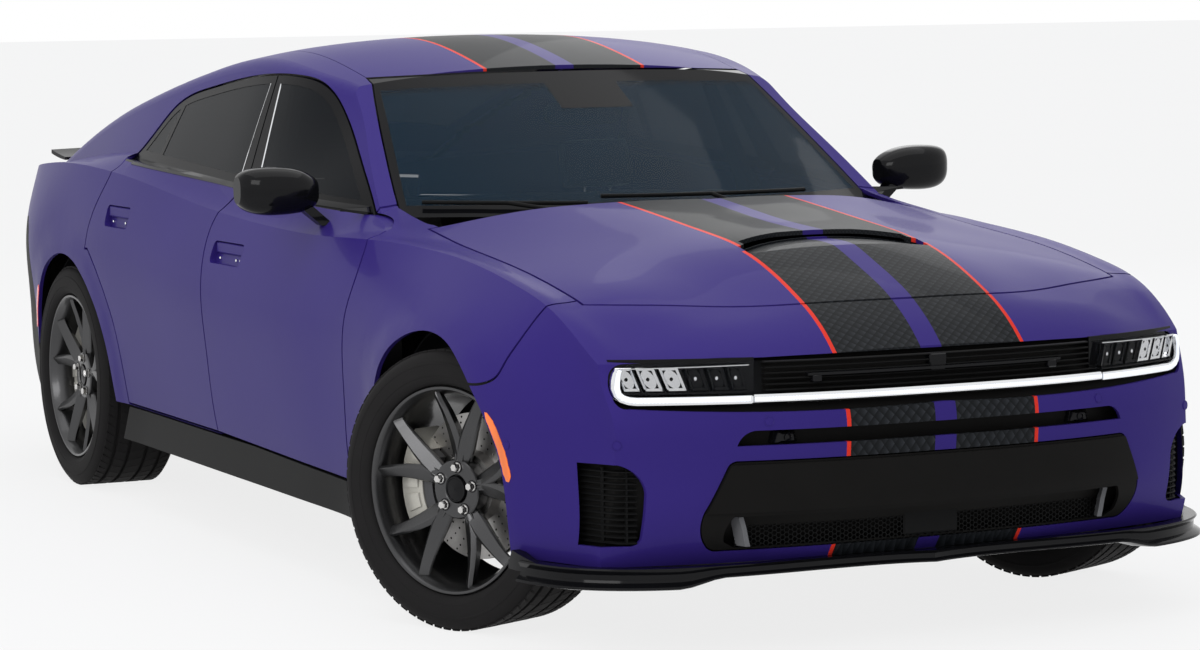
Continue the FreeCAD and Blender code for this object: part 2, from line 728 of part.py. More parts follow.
def canopy_flanks(inset, depth=2300.0):
    """Slab of the given depth behind each side of the glasshouse."""
    ys = [-1300, -1100, -890, -700, -500, -250, 0, 210, 418, 700, 984, 1200, 1500]
    zs = spread(900, 1480, 12)
    left = skin_face(lambda y, z: Vector(canopy_width(y, z) - inset, y, z), ys, zs)
    left = left.extrude(Vector(-depth, 0, 0))
    return left, left.mirror(Vector(0, 0, 0), Vector(1, 0, 0))


door_zone = side_prism(LOWER_DOORS, GAP)
FRAME_DROP = 40.0
FRAME_DEPTH = 16.0
REAR_CORNER, FRONT_CORNER = WINDOW_LINE[0], WINDOW_LINE[-1]
REAR_FOOT = (REAR_CORNER[0], REAR_CORNER[1] - FRAME_DROP)
FRONT_FOOT = (FRONT_CORNER[0], FRONT_CORNER[1] - FRAME_DROP)
WINDOW_BAND = [[REAR_CORNER, REAR_FOOT], [REAR_FOOT, FRONT_FOOT], [FRONT_FOOT, FRONT_CORNER], WINDOW_ARCH]
inner_left, inner_right = canopy_flanks(70)
window_zone = side_prism(WINDOWS, GAP).cut(inner_left.common(inner_right))

body_sides = shell.cut(block(-1200, 1200, -3000, COWL_Y + GAP, 0, 1600))
body_sides = body_sides.cut(block(-1200, 1200, -1200, 1000, 0, SILL_LINE))
body_sides = body_sides.cut(door_zone).cut(window_zone)
body_sides = body_sides.cut(plan_prism(ROOF_PANEL, GAP / 3, 900, 1600))
body_sides = body_sides.cut(plan_prism(HATCH, GAP, HATCH_LOW, 1600))
body_sides = body_sides.cut(front_prism(WINDSHIELD, GAP, -1300, -300))
body_sides = body_sides.cut(side_prism(TAIL_ZONE, GAP)).cut(rear_arches)
LAMP_LOW = 796.0
lamp_hole = block(-720, 720, 2350, TAIL_END, LAMP_LOW - 2 * GAP, HATCH_LOW + 2 * GAP)
body_sides = body_sides.cut(lamp_hole).cut(block(-640, 640, -1100, 2300, 100, 1100))
roof_panel = shell.common(plan_prism(ROOF_PANEL, -GAP / 3, 1200, 1600))
roof_panel = roof_panel.cut(front_prism(WINDSHIELD, GAP, -1300, -300))
tailgate = shell.common(plan_prism(HATCH, -GAP, HATCH_LOW, 1600)).cut(plan_prism(BACKLIGHT, 0, 900, 1600))
DIFFUSER = [[(0, 398), (640, 398)], [(640, 398), (664, 388), (672, 366)], [(672, 366), (690, 200)],
            [(690, 200), (0, 200)]]


def rear_opening(half, grow=0.0):
    chains = half + [mirror_chain(c) for c in reversed(half)]
    return front_prism(chains, grow, 2000, 2900)


PLATE_X, PLATE_LOW, PLATE_HIGH, PLATE_Y = 190.0, 545.0, 715.0, 2548.0
PLATE_MIDDLE = (PLATE_LOW + PLATE_HIGH) / 2
PLATE_SPACING_X, PLATE_SPACING_Z, PLATE_HOLE = 178.0, 121.0, 3.0
plate_pocket = block(-PLATE_X, PLATE_X, PLATE_Y, 2700, PLATE_LOW, PLATE_HIGH)
plate_box = block(-PLATE_X - 6, PLATE_X + 6, PLATE_Y - 10, 2700, PLATE_LOW - 6, PLATE_HIGH + 6).common(lower)
rear_fascia = shell.common(side_prism(TAIL_ZONE, 0)).cut(rear_arches).fuse(plate_box).cut(plate_pocket)
for x in (-PLATE_SPACING_X / 2, PLATE_SPACING_X / 2):
    for z in (PLATE_MIDDLE - PLATE_SPACING_Z / 2, PLATE_MIDDLE + PLATE_SPACING_Z / 2):
        screw_hole = Part.makeCylinder(PLATE_HOLE, 60, Vector(x, PLATE_Y - 30, z), Vector(0, 1, 0))
        rear_fascia = rear_fascia.cut(screw_hole)
rear_fascia = rear_fascia.cut(lamp_hole).cut(rear_opening(DIFFUSER))
rear_fascia = rear_fascia.cut(block(-1200, 1200, 1600, 2800, 0, 236))
tail_lamp = shell.common(block(-716, 716, 2350, TAIL_END, LAMP_LOW, HATCH_LOW - 4))

SMALLEST_PANEL = 1e6
# Doors: an 85 mm deep lower part, a window frame and panes.
FRONT_ZONE = [[(-1500, 1500), (-2 + 42, 1500)], [(-2 + 42, 1500), DOOR_SPLIT[0]], DOOR_SPLIT,
              [DOOR_SPLIT[-1], (-12, 200)], [(-12, 200), (-1500, 200)], [(-1500, 200), (-1500, 1500)]]
PILLAR = [[(-171, 1063), (-19, 1409)], [(-19, 1409), (40, 1409)], [(40, 1409), (-35, 1009)],
          [(-35, 1009), (-195, 1009)], [(-195, 1009), (-171, 1063)]]
DIVIDER = [[(680, 1340), (710, 1340)], [(710, 1340), (768, 1070)], [(768, 1070), (738, 1070)],
           [(738, 1070), (680, 1340)]]
TRIM = 24.0
panes = side_prism(WINDOWS, -GAP - TRIM).cut(side_prism(PILLAR)).cut(side_prism(DIVIDER))
door_depth = dim("door_thickness")
HEM = 28.0
side_walls = block(-1300, 1300, -3000, 3000, 0, 2000).cut(block(-700, 700, -3001, 3001, -1, 2001))
door_skins = shell.common(side_prism(LOWER_DOORS, -GAP)).common(side_walls)
door_cores = hollow.common(side_prism(LOWER_DOORS, -GAP - HEM)).common(side_walls).cut(lower_side(door_depth))
HANDLE_DEPTH = 20.0
POCKETS = ((-286, -47, 832, 897), (712, 926, 884, 952))
pockets = [[[(y0 + 18, z1), (y1 - 18, z1)], [(y1 - 18, z1), (y1 - 5, z1 - 5), (y1, z1 - 18)],
            [(y1, z1 - 18), (y1, z0 + 18)], [(y1, z0 + 18), (y1 - 5, z0 + 5), (y1 - 18, z0)],
            [(y1 - 18, z0), (y0 + 18, z0)], [(y0 + 18, z0), (y0 + 5, z0 + 5), (y0, z0 + 18)],
            [(y0, z0 + 18), (y0, z1 - 18)], [(y0, z1 - 18), (y0 + 5, z1 - 5), (y0 + 18, z1)]]
           for y0, y1, z0, z1 in POCKETS]
pocket_cut = side_prism(pockets[0]).fuse(side_prism(pockets[1])).cut(lower_side(HANDLE_DEPTH))
front_zone_in = side_prism(FRONT_ZONE, -GAP)
front_zone_out = side_prism(FRONT_ZONE, GAP)
front_core_in = side_prism(FRONT_ZONE, -GAP - HEM)
band = side_prism(WINDOW_BAND, -GAP)
frame_slabs = canopy_flanks(2.5, FRAME_DEPTH)
glass_slabs = canopy_flanks(4, 5)
SIDES = (("left", 1), ("right", -1))
for (side, sign), frame_slab, glass_slab in zip(SIDES, frame_slabs, glass_slabs):
    half = block(0, 1300, -3000, 3000, 0, 2000) if sign > 0 else block(-1300, 0, -3000, 3000, 0, 2000)
    skins = door_skins.common(half).fuse(frame_slab.common(band).cut(panes))
    cores = door_cores.common(half)
    glass_pair = glass_slab.common(panes).common(half)
    front_door = skins.common(front_zone_in).fuse(cores.common(front_core_in))
    rear_door = skins.cut(front_zone_out).fuse(cores.cut(front_zone_out))
    feature("door_front_" + side, front_door.cut(pocket_cut))
    feature("door_rear_" + side, rear_door.cut(pocket_cut))
    feature("door_glass_front_" + side, glass_pair.common(front_zone_in))
    feature("door_glass_rear_" + side, glass_pair.cut(front_zone_out))
for name, shape in (("hood", hood), ("front_fascia", front_fascia), ("front_fenders", front_fenders),
                    ("body_sides", body_sides), ("roof_panel", roof_panel), ("tailgate", tailgate),
                    ("rear_fascia", rear_fascia), ("tail_lamp", tail_lamp)):
    feature(name, shape, SMALLEST_PANEL)

# Wheels: modelled about their own centre with the outside towards +X, then placed.
SPOKES = 5
HUB_FACE = 92.0
SPOKE_BACK = 62.0
DISH_EDGE = 112.0
SPOKE_TAPER = -6.0
PITCH_RADIUS = 57.5
NUT_RADIUS = 14.0
CAP_RADIUS = 33.0


def tyre_body():
    body = new_body("tyre")
    edge = [
        (-25, Size("rim_radius")),
        (-25, Size("rim_radius", 1, 7)),
        (-3, Size("rim_radius", 1, 23)),
        (2, Size("rim_radius", 1, 50)),
        (-2, Size("tyre_radius", 1, -24)),
        (-14, Size("tyre_radius", 1, -9)),
        (-60, Size("tyre_radius", 1, -1)),
    ]
    right = [(Size("tyre_width", 0.5, x), r) for x, r in edge]
    left = [(Size("tyre_width", -0.5, -x), r) for x, r in edge]
    revolved(body, "tyre_carcass", left + list(reversed(right)))
    return body


def rim_body():
    """Cast wheel: a barrel, a hub and five spokes that fork where they pass the brake disc."""
    body = new_body("rim")
    barrel_section = [
        (-120, Size("rim_radius", 1, -24)),
        (-120, Size("rim_radius", 1, 6)),
        (-113.5, Size("rim_radius", 1, 6)),
        (-113.5, Size("rim_radius", 1, -0.5)),
        (113.5, Size("rim_radius", 1, -0.5)),
        (113.5, Size("rim_radius", 1, 6)),
        (121, Size("rim_radius", 1, 6)),
        (121, Size("rim_radius", 1, -8)),
        (108, Size("rim_radius", 1, -17)),
        (60, Size("rim_radius", 1, -24)),
    ]
    revolved(body, "barrel", barrel_section)
    hub = circle_sketch(body, "hub_outline", "YZ_Plane", 80, 46)
    padded(body, "hub", hub, HUB_FACE - 46)
    half = [(46, 22), (106, 40), (150, 44), (222, 86), (232, 66), (126, 11)]
    outline = [(v, u) for u, v in half] + [(-v, u) for u, v in reversed(half)]
    spoke = padded(body, "spoke", polygon_sketch(body, "spoke_outline", "YZ_Plane", outline, SPOKE_BACK),
                   DISH_EDGE + 8 - SPOKE_BACK, SPOKE_TAPER)
    repeated(body, "spokes", [spoke], SPOKES)
    dish = [(HUB_FACE, 1), (HUB_FACE, 46), (HUB_FACE - 6, 84), (DISH_EDGE, 226), (DISH_EDGE + 12, 244),
            (DISH_EDGE + 12, 1)]
    revolved(body, "dish", dish, cut=True)
    cap = circle_sketch(body, "cap_outline", "YZ_Plane", CAP_RADIUS, HUB_FACE - 8)
    pocketed(body, "cap_recess", cap, 40)
    hole = circle_sketch(body, "nut_outline", "YZ_Plane", NUT_RADIUS, HUB_FACE - 22, (0, PITCH_RADIUS))
    seat = pocketed(body, "nut_seat", hole, 40)
    repeated(body, "nut_seats", [seat], SPOKES)
    return body


def disc_body():
    """Brake disc with its hat."""
    body = new_body("disc")
    section = [(-14, 190), (14, 190), (14, 86), (45.5, 86), (45.5, 34), (38, 34), (38, 78), (-14, 78)]
    revolved(body, "disc_section", section)
    return body


def box(name, low, high, radius=0.0):
    """Box between two corners, whose places may be bound; its edges rounded where a radius is given."""
    piece = doc.addObject("Part::Box", name)
    for prop, start, end in zip(("Length", "Width", "Height"), low, high):
        setattr(piece, prop, number(end) - number(start))
    place(piece, low)
    if not radius:
        return piece
    smooth = doc.addObject("Part::Fillet", name + "_rounded")
    smooth.Base = piece
    smooth.Edges = [(i, radius, radius) for i in range(1, 13)]
    return smooth


def rod(name, radius, start, end):
    """Round bar between two points."""
    a, b = [Vector(*[number(v) for v in p]) for p in (start, end)]
    piece = doc.addObject("Part::Cylinder", name)
    bind(piece, "Radius", radius)
    piece.Height = (b - a).Length
    piece.Placement = FreeCAD.Placement(a, FreeCAD.Rotation(Vector(0, 0, 1), b - a))
    for axis, value in zip("xyz", start):
        bind(piece, "Placement.Base." + axis, value)
    return piece


def mirror(piece):
    """The same piece on the car's other side."""
    image = doc.addObject("Part::Mirroring", piece.Name + "_right")
    image.Source = piece
    image.Normal = Vector(1, 0, 0)
    return image


def both(pieces):
    return [copy for piece in pieces for copy in (piece, mirror(piece))]


def joined(name, pieces):
    whole_piece = doc.addObject("Part::MultiFuse", name)
    whole_piece.Shapes = pieces
    return whole_piece


def cut(name, base, tool):
    rest = doc.addObject("Part::Cut", name)
    rest.Base = base
    rest.Tool = tool
    return rest


CALIPER_IN, CALIPER_OUT = 118.0, 226.0
DISC_ROOM = 199.0


def upright(side):
    """Hub carrier, spindle and caliper; the caliper is ahead of the axle for side -1, behind it for 1."""
    name = "upright_ahead" if side < 0 else "upright_behind"
    post = box(name + "_post", (-72, -25, -150), (-36, 25, 150))
    carrier = rod(name + "_carrier", 52, (-72, 0, 0), (-22, 0, 0))
    spindle = rod(name + "_spindle", 28, (-72, 0, 0), (45, 0, 0))
    bracket = box(name + "_bracket", (-60, min(0, side * 150), -30), (-48, max(0, side * 150), 30))
    caliper = new_body(name + "_caliper")
    section = [(-48, CALIPER_IN), (-48, CALIPER_OUT - 8), (-40, CALIPER_OUT), (42, CALIPER_OUT),
               (50, CALIPER_OUT - 8), (50, CALIPER_IN), (21, CALIPER_IN), (21, DISC_ROOM), (-21, DISC_ROOM),
               (-21, CALIPER_IN)]
    bridge = revolved(caliper, name + "_bridge", section)
    bridge.Angle = 62
    turned = FreeCAD.Rotation(Vector(1, 0, 0), -side * 90 - 31 + 5 * side)
    caliper.Placement = FreeCAD.Placement(Vector(), turned)
    return joined(name, [post, carrier, spindle, bracket, caliper])


TYRE = tyre_body()
WHEEL = [rim_body(), disc_body()]
UPRIGHTS = {1: upright(1), -1: upright(-1)}
AXLE_FRONT = Size("front_axle_y")
AXLE_REAR = Size("front_axle_y", 1, dim("wheelbase"))
HUB = Size("hub_height")
for side, sign in SIDES:
    flip = 0 if sign > 0 else 180
    turn = Size("steer_angle", 1, flip)
    front = (Size("kingpin_x", sign), AXLE_FRONT, HUB)
    rear = (Size("rear_track_half", sign), AXLE_REAR, HUB)
    node("tyre_front_" + side, [TYRE], front, turn)
    node("tyre_rear_" + side, [TYRE], rear, flip)
    node("rim_front_" + side, WHEEL, front, turn)
    node("rim_rear_" + side, WHEEL, rear, flip)
    node("knuckle_" + side, [UPRIGHTS[sign]], front, turn)
rear_uprights = []
for side, sign in SIDES:
    carrier_copy = doc.addObject("Part::Compound", "rear_upright_" + side)
    carrier_copy.Links = [UPRIGHTS[-sign]]
    place(carrier_copy, (Size("rear_track_half", sign), AXLE_REAR, HUB), 0 if sign > 0 else 180)
    rear_uprights.append(carrier_copy)
node("rear_knuckles", rear_uprights)


def ahead(distance):
    """A place along the car measured from the front axle."""
    return Size("front_axle_y", 1, distance)


def behind(distance):
    """A place along the car measured from the rear axle."""
    return Size("front_axle_y", 1, dim("wheelbase") + distance)


# Running gear under the floor.
node("front_suspension", [
    box("front_crossmember", (-399, ahead(-60), 200), (399, ahead(60), 250)),
    rod("anti_roll_bar", 15, (-398, -1870, 300), (398, -1870, 300)),
] + both([
    box("lower_arm", (475, ahead(-25), 218), (782, ahead(25), 246), 8),
    box("upper_arm", (475, ahead(-20), 478), (782, ahead(20), 500), 8),
    rod("front_damper", 28, (620, ahead(0), 247), (620, ahead(0), 477)),
    rod("front_spring", 45, (620, ahead(0), 501), (620, ahead(0), 760)),
    box("chassis_rail", (400, -2380, 380), (474, -1200, 480), 10),
    box("rail_drop", (400, ahead(-60), 200), (474, ahead(60), 379)),
]))
node("rear_suspension", [
    box("final_drive", (-149, behind(-150), 240), (149, behind(150), 440), 30),
    box("rear_crossmember", (-329, behind(-260), 230), (329, behind(-170), 290), 12),
] + both([
    rod("half_shaft", 24, (150, behind(0), 362), (780, behind(0), 362)),
    box("trailing_arm", (330, behind(-150), 240), (775, behind(-100), 280), 10),
    rod("rear_spring", 45, (600, behind(-125), 282), (600, behind(-125), 540)),
]))
node("engine", [box("engine_block", (-290, -2180, 330), (290, -1420, 880), 30)])
node("radiator", [box("radiator_core", (-394, -2400, 300), (394, -2350, 730), 8)])
node("exhaust", both([
    rod("exhaust_pipe", 35, (230, -1150, 165), (230, 2070, 165)),
    box("muffler", (180, 2080, 200), (620, 2300, 330), 40),
    cut("exhaust_tip", rod("tip_outside", 52, (520, 2301, 285), (520, 2560, 285)),
        rod("tip_bore", 46, (520, 2360, 285), (520, 2600, 285))),
]))


# Floor, firewall, rockers and pillars.
floor_area = lower_40.common(block(-1000, 1000, -1150, 2440, 100, 1000))
TUNNEL_END = 425.0
FLOOR_END = 1020.0
tyre_rooms = pair(cylinder_x(385, 700, 1200, AXLE_R, HUB_Z))
floor = floor_area.common(block(-800, 800, -1150, FLOOR_END, 214, 230))
floor = floor.cut(block(-150, 150, -2000, TUNNEL_END, 0, 300)).cut(tyre_rooms)
tunnel = block(-150, 150, -1150, TUNNEL_END, 214, 400)
tunnel = tunnel.cut(block(-134, 134, -1151, TUNNEL_END - 14, 200, 384))
rockers = floor_area.common(block(-1000, 1000, -1150, 880, 200, 312))
rockers = rockers.cut(block(-801, 801, -3000, 3000, 0, 500)).cut(tyre_rooms)
firewall = lower_40.common(block(-760, 760, -1150, -1136, 231, 940))
firewall = firewall.cut(block(-150, 150, -1200, -1100, 0, 401))
rear_floor = lower_40.common(block(-615, 615, FLOOR_END, 2440, 560, 574))
step = block(-615, 615, FLOOR_END - 14, FLOOR_END - 1, 231, 560)
feature("floor_pan", Part.makeCompound(floor.fuse(tunnel).fuse(rockers).fuse(firewall).fuse(step).Solids
                                       + rear_floor.Solids))
skirt_ys = spread(-1320, 900, 14)


def skirt_point(y, z):
    """The skirt leans out as it goes down from the body's lower edge."""
    return Vector(half_width(y, 315) + 0.22 * (315 - z), y, z)


skirt = skin_face(skirt_point, skirt_ys, [195, 235, 275, 325])
skirt = skirt.extrude(Vector(-34, 0, 0)).common(block(0, 1200, -1290, 820, 212, 312))
skirt = skirt.cut(arch_cylinder(ARCH + 4, 500, 1200, AXLE_F)).cut(arch_cylinder(ARCH + 4, 500, 1200, AXLE_R))
skirt = skirt.cut(side_prism(LOWER_DOORS, GAP))
feature("side_skirts", pair(skirt))
LINER, LINER_OUT = ARCH + 4, 930.0


def liner(axle_y, inner_x):
    """Arch liner and inner wall of one left wheel."""
    ring = arch_cylinder(LINER + 6, inner_x, LINER_OUT, axle_y)
    ring = ring.cut(arch_cylinder(LINER, inner_x - 10, 1200, axle_y))
    above_arms = block(0, 1200, axle_y - 500, axle_y + 500, 580, 1000)
    wall = arch_cylinder(LINER, inner_x, inner_x + 8, axle_y).common(above_arms)
    return ring.fuse(wall).common(block(0, 1200, axle_y - 500, axle_y + 500, 318, 1200))


liners = [liner(AXLE_F, 536), liner(AXLE_R, 660)]
feature("wheel_liners", Part.makeCompound([s for shape in liners for s in pair(shape).Solids]))

# Front end fittings.
GRILLE_DEPTH = 20.0
grille_back = lower_40.translated(Vector(0, GRILLE_DEPTH, 0))
FRONT_BOX = block(-890, 890, -2900, -1950, 0, 1000)
grille_shell = lower_40.common(FRONT_BOX).cut(grille_back)
grille = grille_shell.common(block(-1000, 1000, -2900, -2150, 252, 752)).cut(front_arches)
grille.translate(Vector(0, 1.5, 0))
bumper_trim = shell.common(front_opening(BUMPER, -GAP)).cut(front_opening(INTAKE))
bumper_bar = proud.common(front_opening(BUMPER, -GAP)).cut(lower_in)
bumper_bar = bumper_bar.common(block(-1000, 1000, -2900, -1900, BAR_LOW, 490))
feature("grille", Part.makeCompound(grille.Solids + bumper_trim.fuse(bumper_bar).Solids))
LAMP = [[(470, 741), (770, 731)], [(770, 731), (798, 721), (811, 700)], [(811, 700), (813, 668)],
        [(813, 668), (500, 664)], [(500, 664), (470, 741)]]
BAR_HALF = [[(0, 656), (800, 659)], [(800, 659), (806, 650), (800, 640)], [(800, 640), (600, 632), (0, 631)]]
lamp_left = lower_in.common(front_prism(LAMP, 0, -2900, -1900)).cut(lower_40)
light_bar = lower_in.common(front_opening(BAR_HALF)).cut(lower_40)
feature("headlamps", Part.makeCompound(pair(lamp_left).Solids + light_bar.Solids))
SPLITTER_EDGE = [(972, -2143), (955, -2250), (900, -2370), (790, -2460), (560, -2522), (0, -2560)]
splitter_plan = [SPLITTER_EDGE, mirror_chain(SPLITTER_EDGE), [(-972, -2143), (-900, -2120)],
                 [(-900, -2120), (900, -2120)], [(900, -2120), (972, -2143)]]
splitter = plan_prism(splitter_plan, 0, 214, 236).cut(front_arches)
fence_side = [[(-2143, 216), (-2300, 216)], [(-2300, 216), (-2290, 236)], [(-2290, 236), (-2160, 262)],
              [(-2160, 262), (-2143, 216)]]
fences = pair(side_prism(fence_side, 0, 940, 985).common(plan_prism(splitter_plan, 0, 200, 300)))
feature("front_splitter", fused([splitter] + fences.Solids).cut(front_fascia))
diffuser_skin = lower_in.common(rear_opening(DIFFUSER, -GAP)).cut(lower_40)
diffuser_skin = diffuser_skin.cut(block(-1000, 1000, 2000, 2900, 0, 242))
FIN_PLACES = (90, 210, 330)
TIP_X, TIP_Z, TIP_ROOM = 520.0, 285.0, 64.0
fins = [pair(block(x - 7, x + 7, 2380, 2800, 242, 385)) for x in FIN_PLACES]
fins = Part.makeCompound([solid for p in fins for solid in p.Solids]).common(lower)
tip_rooms = pair(Part.makeCylinder(TIP_ROOM, 700, Vector(TIP_X, 2200, TIP_Z), Vector(0, 1, 0)))
diffuser = fused(diffuser_skin.Solids + fins.Solids).cut(tip_rooms)
feature("rear_diffuser", diffuser)
cowl_plan = [[(-738, -1130), (0, -1345)], [(0, -1345), (738, -1130)], [(738, -1130), (738, -925)],
             [(738, -925), (0, -1140), (-738, -925)], [(-738, -925), (-738, -1130)]]
cowl = plan_prism(cowl_plan, 0, 955, 970)
feature("cowl", cowl)
glass_back = glasshouse(6)
windshield = upper.common(front_prism(WINDSHIELD, -1, -1300, -300)).cut(glass_back)
feature("windshield", windshield.cut(block(-800, 800, -1400, 0, 0, 1004)))
feature("tailgate_glass", upper.common(plan_prism(BACKLIGHT, -1, 1000, 1600)).cut(glass_back))
SPOILER_REAR = [(655, 2585), (400, 2605), (0, 2613)]
spoiler_plan = [[(-640, 2470), (640, 2470)], [(640, 2470), (655, 2585)],
                SPOILER_REAR + mirror_chain(SPOILER_REAR)[1:], [(-655, 2585), (-640, 2470)]]
spoiler_side = [[(2460, 1016), (2540, 1026), (2615, 1046)], [(2615, 1046), (2615, 1058)],
                [(2615, 1058), (2540, 1040), (2460, 1026)], [(2460, 1026), (2460, 1016)]]
blade = plan_prism(spoiler_plan, 0, 1000, 1080).common(side_prism(spoiler_side))
feet = pair(block(400, 560, 2500, 2545, 960, 1024)).Solids
spoiler = fused([blade] + feet).cut(whole)
spoiler.translate(Vector(0, 1.5, 1.5))
feature("spoiler", spoiler)

# Posts that carry the doors, inside the body sides.
B_POST = ((312, 770, 812, -75, 15), (1000, 768, 803, -135, -45), (1350, 668, 699, -15, 15))


def section_wire(z, x0, x1, y0, y1):
    corners = [Vector(x0, y0, z), Vector(x1, y0, z), Vector(x1, y1, z), Vector(x0, y1, z)]
    return Part.makePolygon(corners + corners[:1])


b_post = Part.makeLoft([section_wire(*row) for row in B_POST], True, True).common(hollow)
hinge_post = block(740, 795, -1128, -1050, 312, 925).common(hollow)
feature("door_posts", Part.makeCompound(pair(b_post).Solids + pair(hinge_post).Solids))

# Cabin.
node("dashboard", [box("dashboard_body", (-790, -1044, 660), (790, -760, 940), 50)])
SEAT_LEAN = -14.0
seat_cushion = box("seat_cushion", (158, -520, 300), (642, 20, 450), 40)
seat_back = box("seat_back", (166, 0, 470), (634, 130, 1010), 45)
head_rest = box("head_rest", (290, 30, 1030), (510, 110, 1180), 30)
leaning = doc.addObject("Part::Compound", "seat_back_leaning")
leaning.Links = [seat_back, head_rest]
lean = FreeCAD.Rotation(Vector(1, 0, 0), SEAT_LEAN)
lean_base = Vector(0, 0, 470)
leaning.Placement = FreeCAD.Placement(lean_base - lean.multVec(lean_base), lean)
node("front_seats", both([seat_cushion, leaning]))
node("rear_seat", [box("bench", (-640, 430, 250), (640, 880, 440), 40),
                   box("bench_back", (-600, 860, 445), (600, 990, 940), 40)])
node("console", [box("console_body", (-110, -740, 405), (110, 300, 620), 30)])
WHEEL_CENTRE = (380, -560, 850)
WHEEL_TILT = 24.0
ring = doc.addObject("Part::Torus", "wheel_ring")
ring.Radius1 = 180
ring.Radius2 = 15
boss = rod("wheel_boss", 60, (0, 0, -20), (0, 0, 14))
wheel_spokes = box("wheel_spokes", (-170, -16, -10), (170, 16, 8))
wheel_stalk = box("wheel_stalk", (-14, -172, -10), (14, 0, 8))
steering = node("steering_wheel", [joined("wheel_all", [ring, boss, wheel_spokes, wheel_stalk])])
wheel_lean = FreeCAD.Rotation(Vector(1, 0, 0), 90 + WHEEL_TILT)
steering.Placement = FreeCAD.Placement(Vector(*WHEEL_CENTRE), wheel_lean)

# Mirrors: rounded housings through four upright sections, on a stem that leaves the door's corner.
MIRROR_SECTIONS = table_curves(
    ("front", "back", "low", "high"),
    [
        (905, -728, -668, 1040, 1104),
        (930, -752, -652, 1022, 1122),
        (985, -772, -642, 1012, 1140),
        (1050, -774, -640, 1010, 1144),
        (1105, -756, -646, 1020, 1138),
        (1135, -722, -664, 1044, 1118),
    ],
)


def mirror_ring(x):
    """Rounded upright section of the housing."""
    y0, y1, z0, z1 = [MIRROR_SECTIONS[name](x) for name in ("front", "back", "low", "high")]
    middle = Vector(x, (y0 + y1) / 2, (z0 + z1) / 2)
    curve = Part.BSplineCurve()
    turns = [2 * math.pi * i / 12 for i in range(12)]
    points = [middle + Vector(0, squashed(math.cos(a)) * (y1 - y0) / 2, squashed(math.sin(a)) * (z1 - z0) / 2)
              for a in turns]
    curve.interpolate(points, PeriodicFlag=True)
    return Part.Wire(curve.toShape())


def squashed(value):
    """Pushes a circle's coordinate out towards a rounded square."""
    return math.copysign(abs(value) ** 0.72, value)


housing = Part.makeLoft([mirror_ring(x) for x in (905, 930, 985, 1050, 1105, 1135)], True, False)
stem_sections = [section_wire(978, 868, 905, -748, -708), section_wire(1030, 925, 965, -740, -690)]
stem = Part.makeLoft(stem_sections, True, True)
mirror_left = housing.fuse(stem).cut(whole)
mirror_left.translate(Vector(0.6, 0, 0))
feature("mirror_left", mirror_left)
feature("mirror_right", mirror_left.mirror(Vector(0, 0, 0), Vector(1, 0, 0)))

# Wipers parked along the foot of the windshield.
WIPERS = (((-676, 1036), (-250, 1028), -330), ((-200, 1044), (480, 1036), 200))


def on_glass(x, z, lift):
    return Vector(x, windshield_y(x, z) - lift, z + 0.5 * lift)


def wiper_blade(start, end):
    """Round bar that follows the glass between two (x, z) places."""
    steps = [i / 6 for i in range(7)]
    spots = [on_glass(start[0] + t * (end[0] - start[0]), start[1] + t * (end[1] - start[1]), WIPER_LIFT)
             for t in steps]
    curve = Part.BSplineCurve()
    curve.interpolate(spots)
    ring = Part.Wire(Part.makeCircle(6, spots[0], spots[1] - spots[0]))
    return Part.Wire(curve.toShape()).makePipeShell([ring], True, False)


WIPER_LIFT, PIVOT_LIFT, COWL_TOP = 16.0, 32.0, 971.0
wiper_solids = []
for start, end, pivot_x in WIPERS:
    middle = on_glass((start[0] + end[0]) / 2, (start[1] + end[1]) / 2, WIPER_LIFT)
    pivot = on_glass(pivot_x, 1000, PIVOT_LIFT)
    arm = Part.makeCylinder(6, (middle - pivot).Length, pivot, middle - pivot)
    post = Part.makeCylinder(13, pivot.z + 12 - COWL_TOP, Vector(pivot.x, pivot.y, COWL_TOP))
    wiper_solids += fused([wiper_blade(start, end), arm, post]).Solids
feature("wipers", Part.makeCompound(wiper_solids))

doc.recompute()
for item in doc.Objects:
    assert "Invalid" not in item.State and "Error" not in item.State, item.Label
for piece in PARTS:
    assert not piece.Shape.isNull() and piece.Shape.isValid() and piece.Shape.Solids, piece.Label
for piece in PARTS:
    print(piece.Label, [round(x.Volume / 1e6, 2) for x in piece.Shape.Solids])
    piece.Shape.exportStep("parts/" + piece.Label + ".step")
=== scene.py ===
import json
import math

import bmesh
import bpy
from mathutils import Matrix, Vector
from mathutils.bvhtree import BVHTree

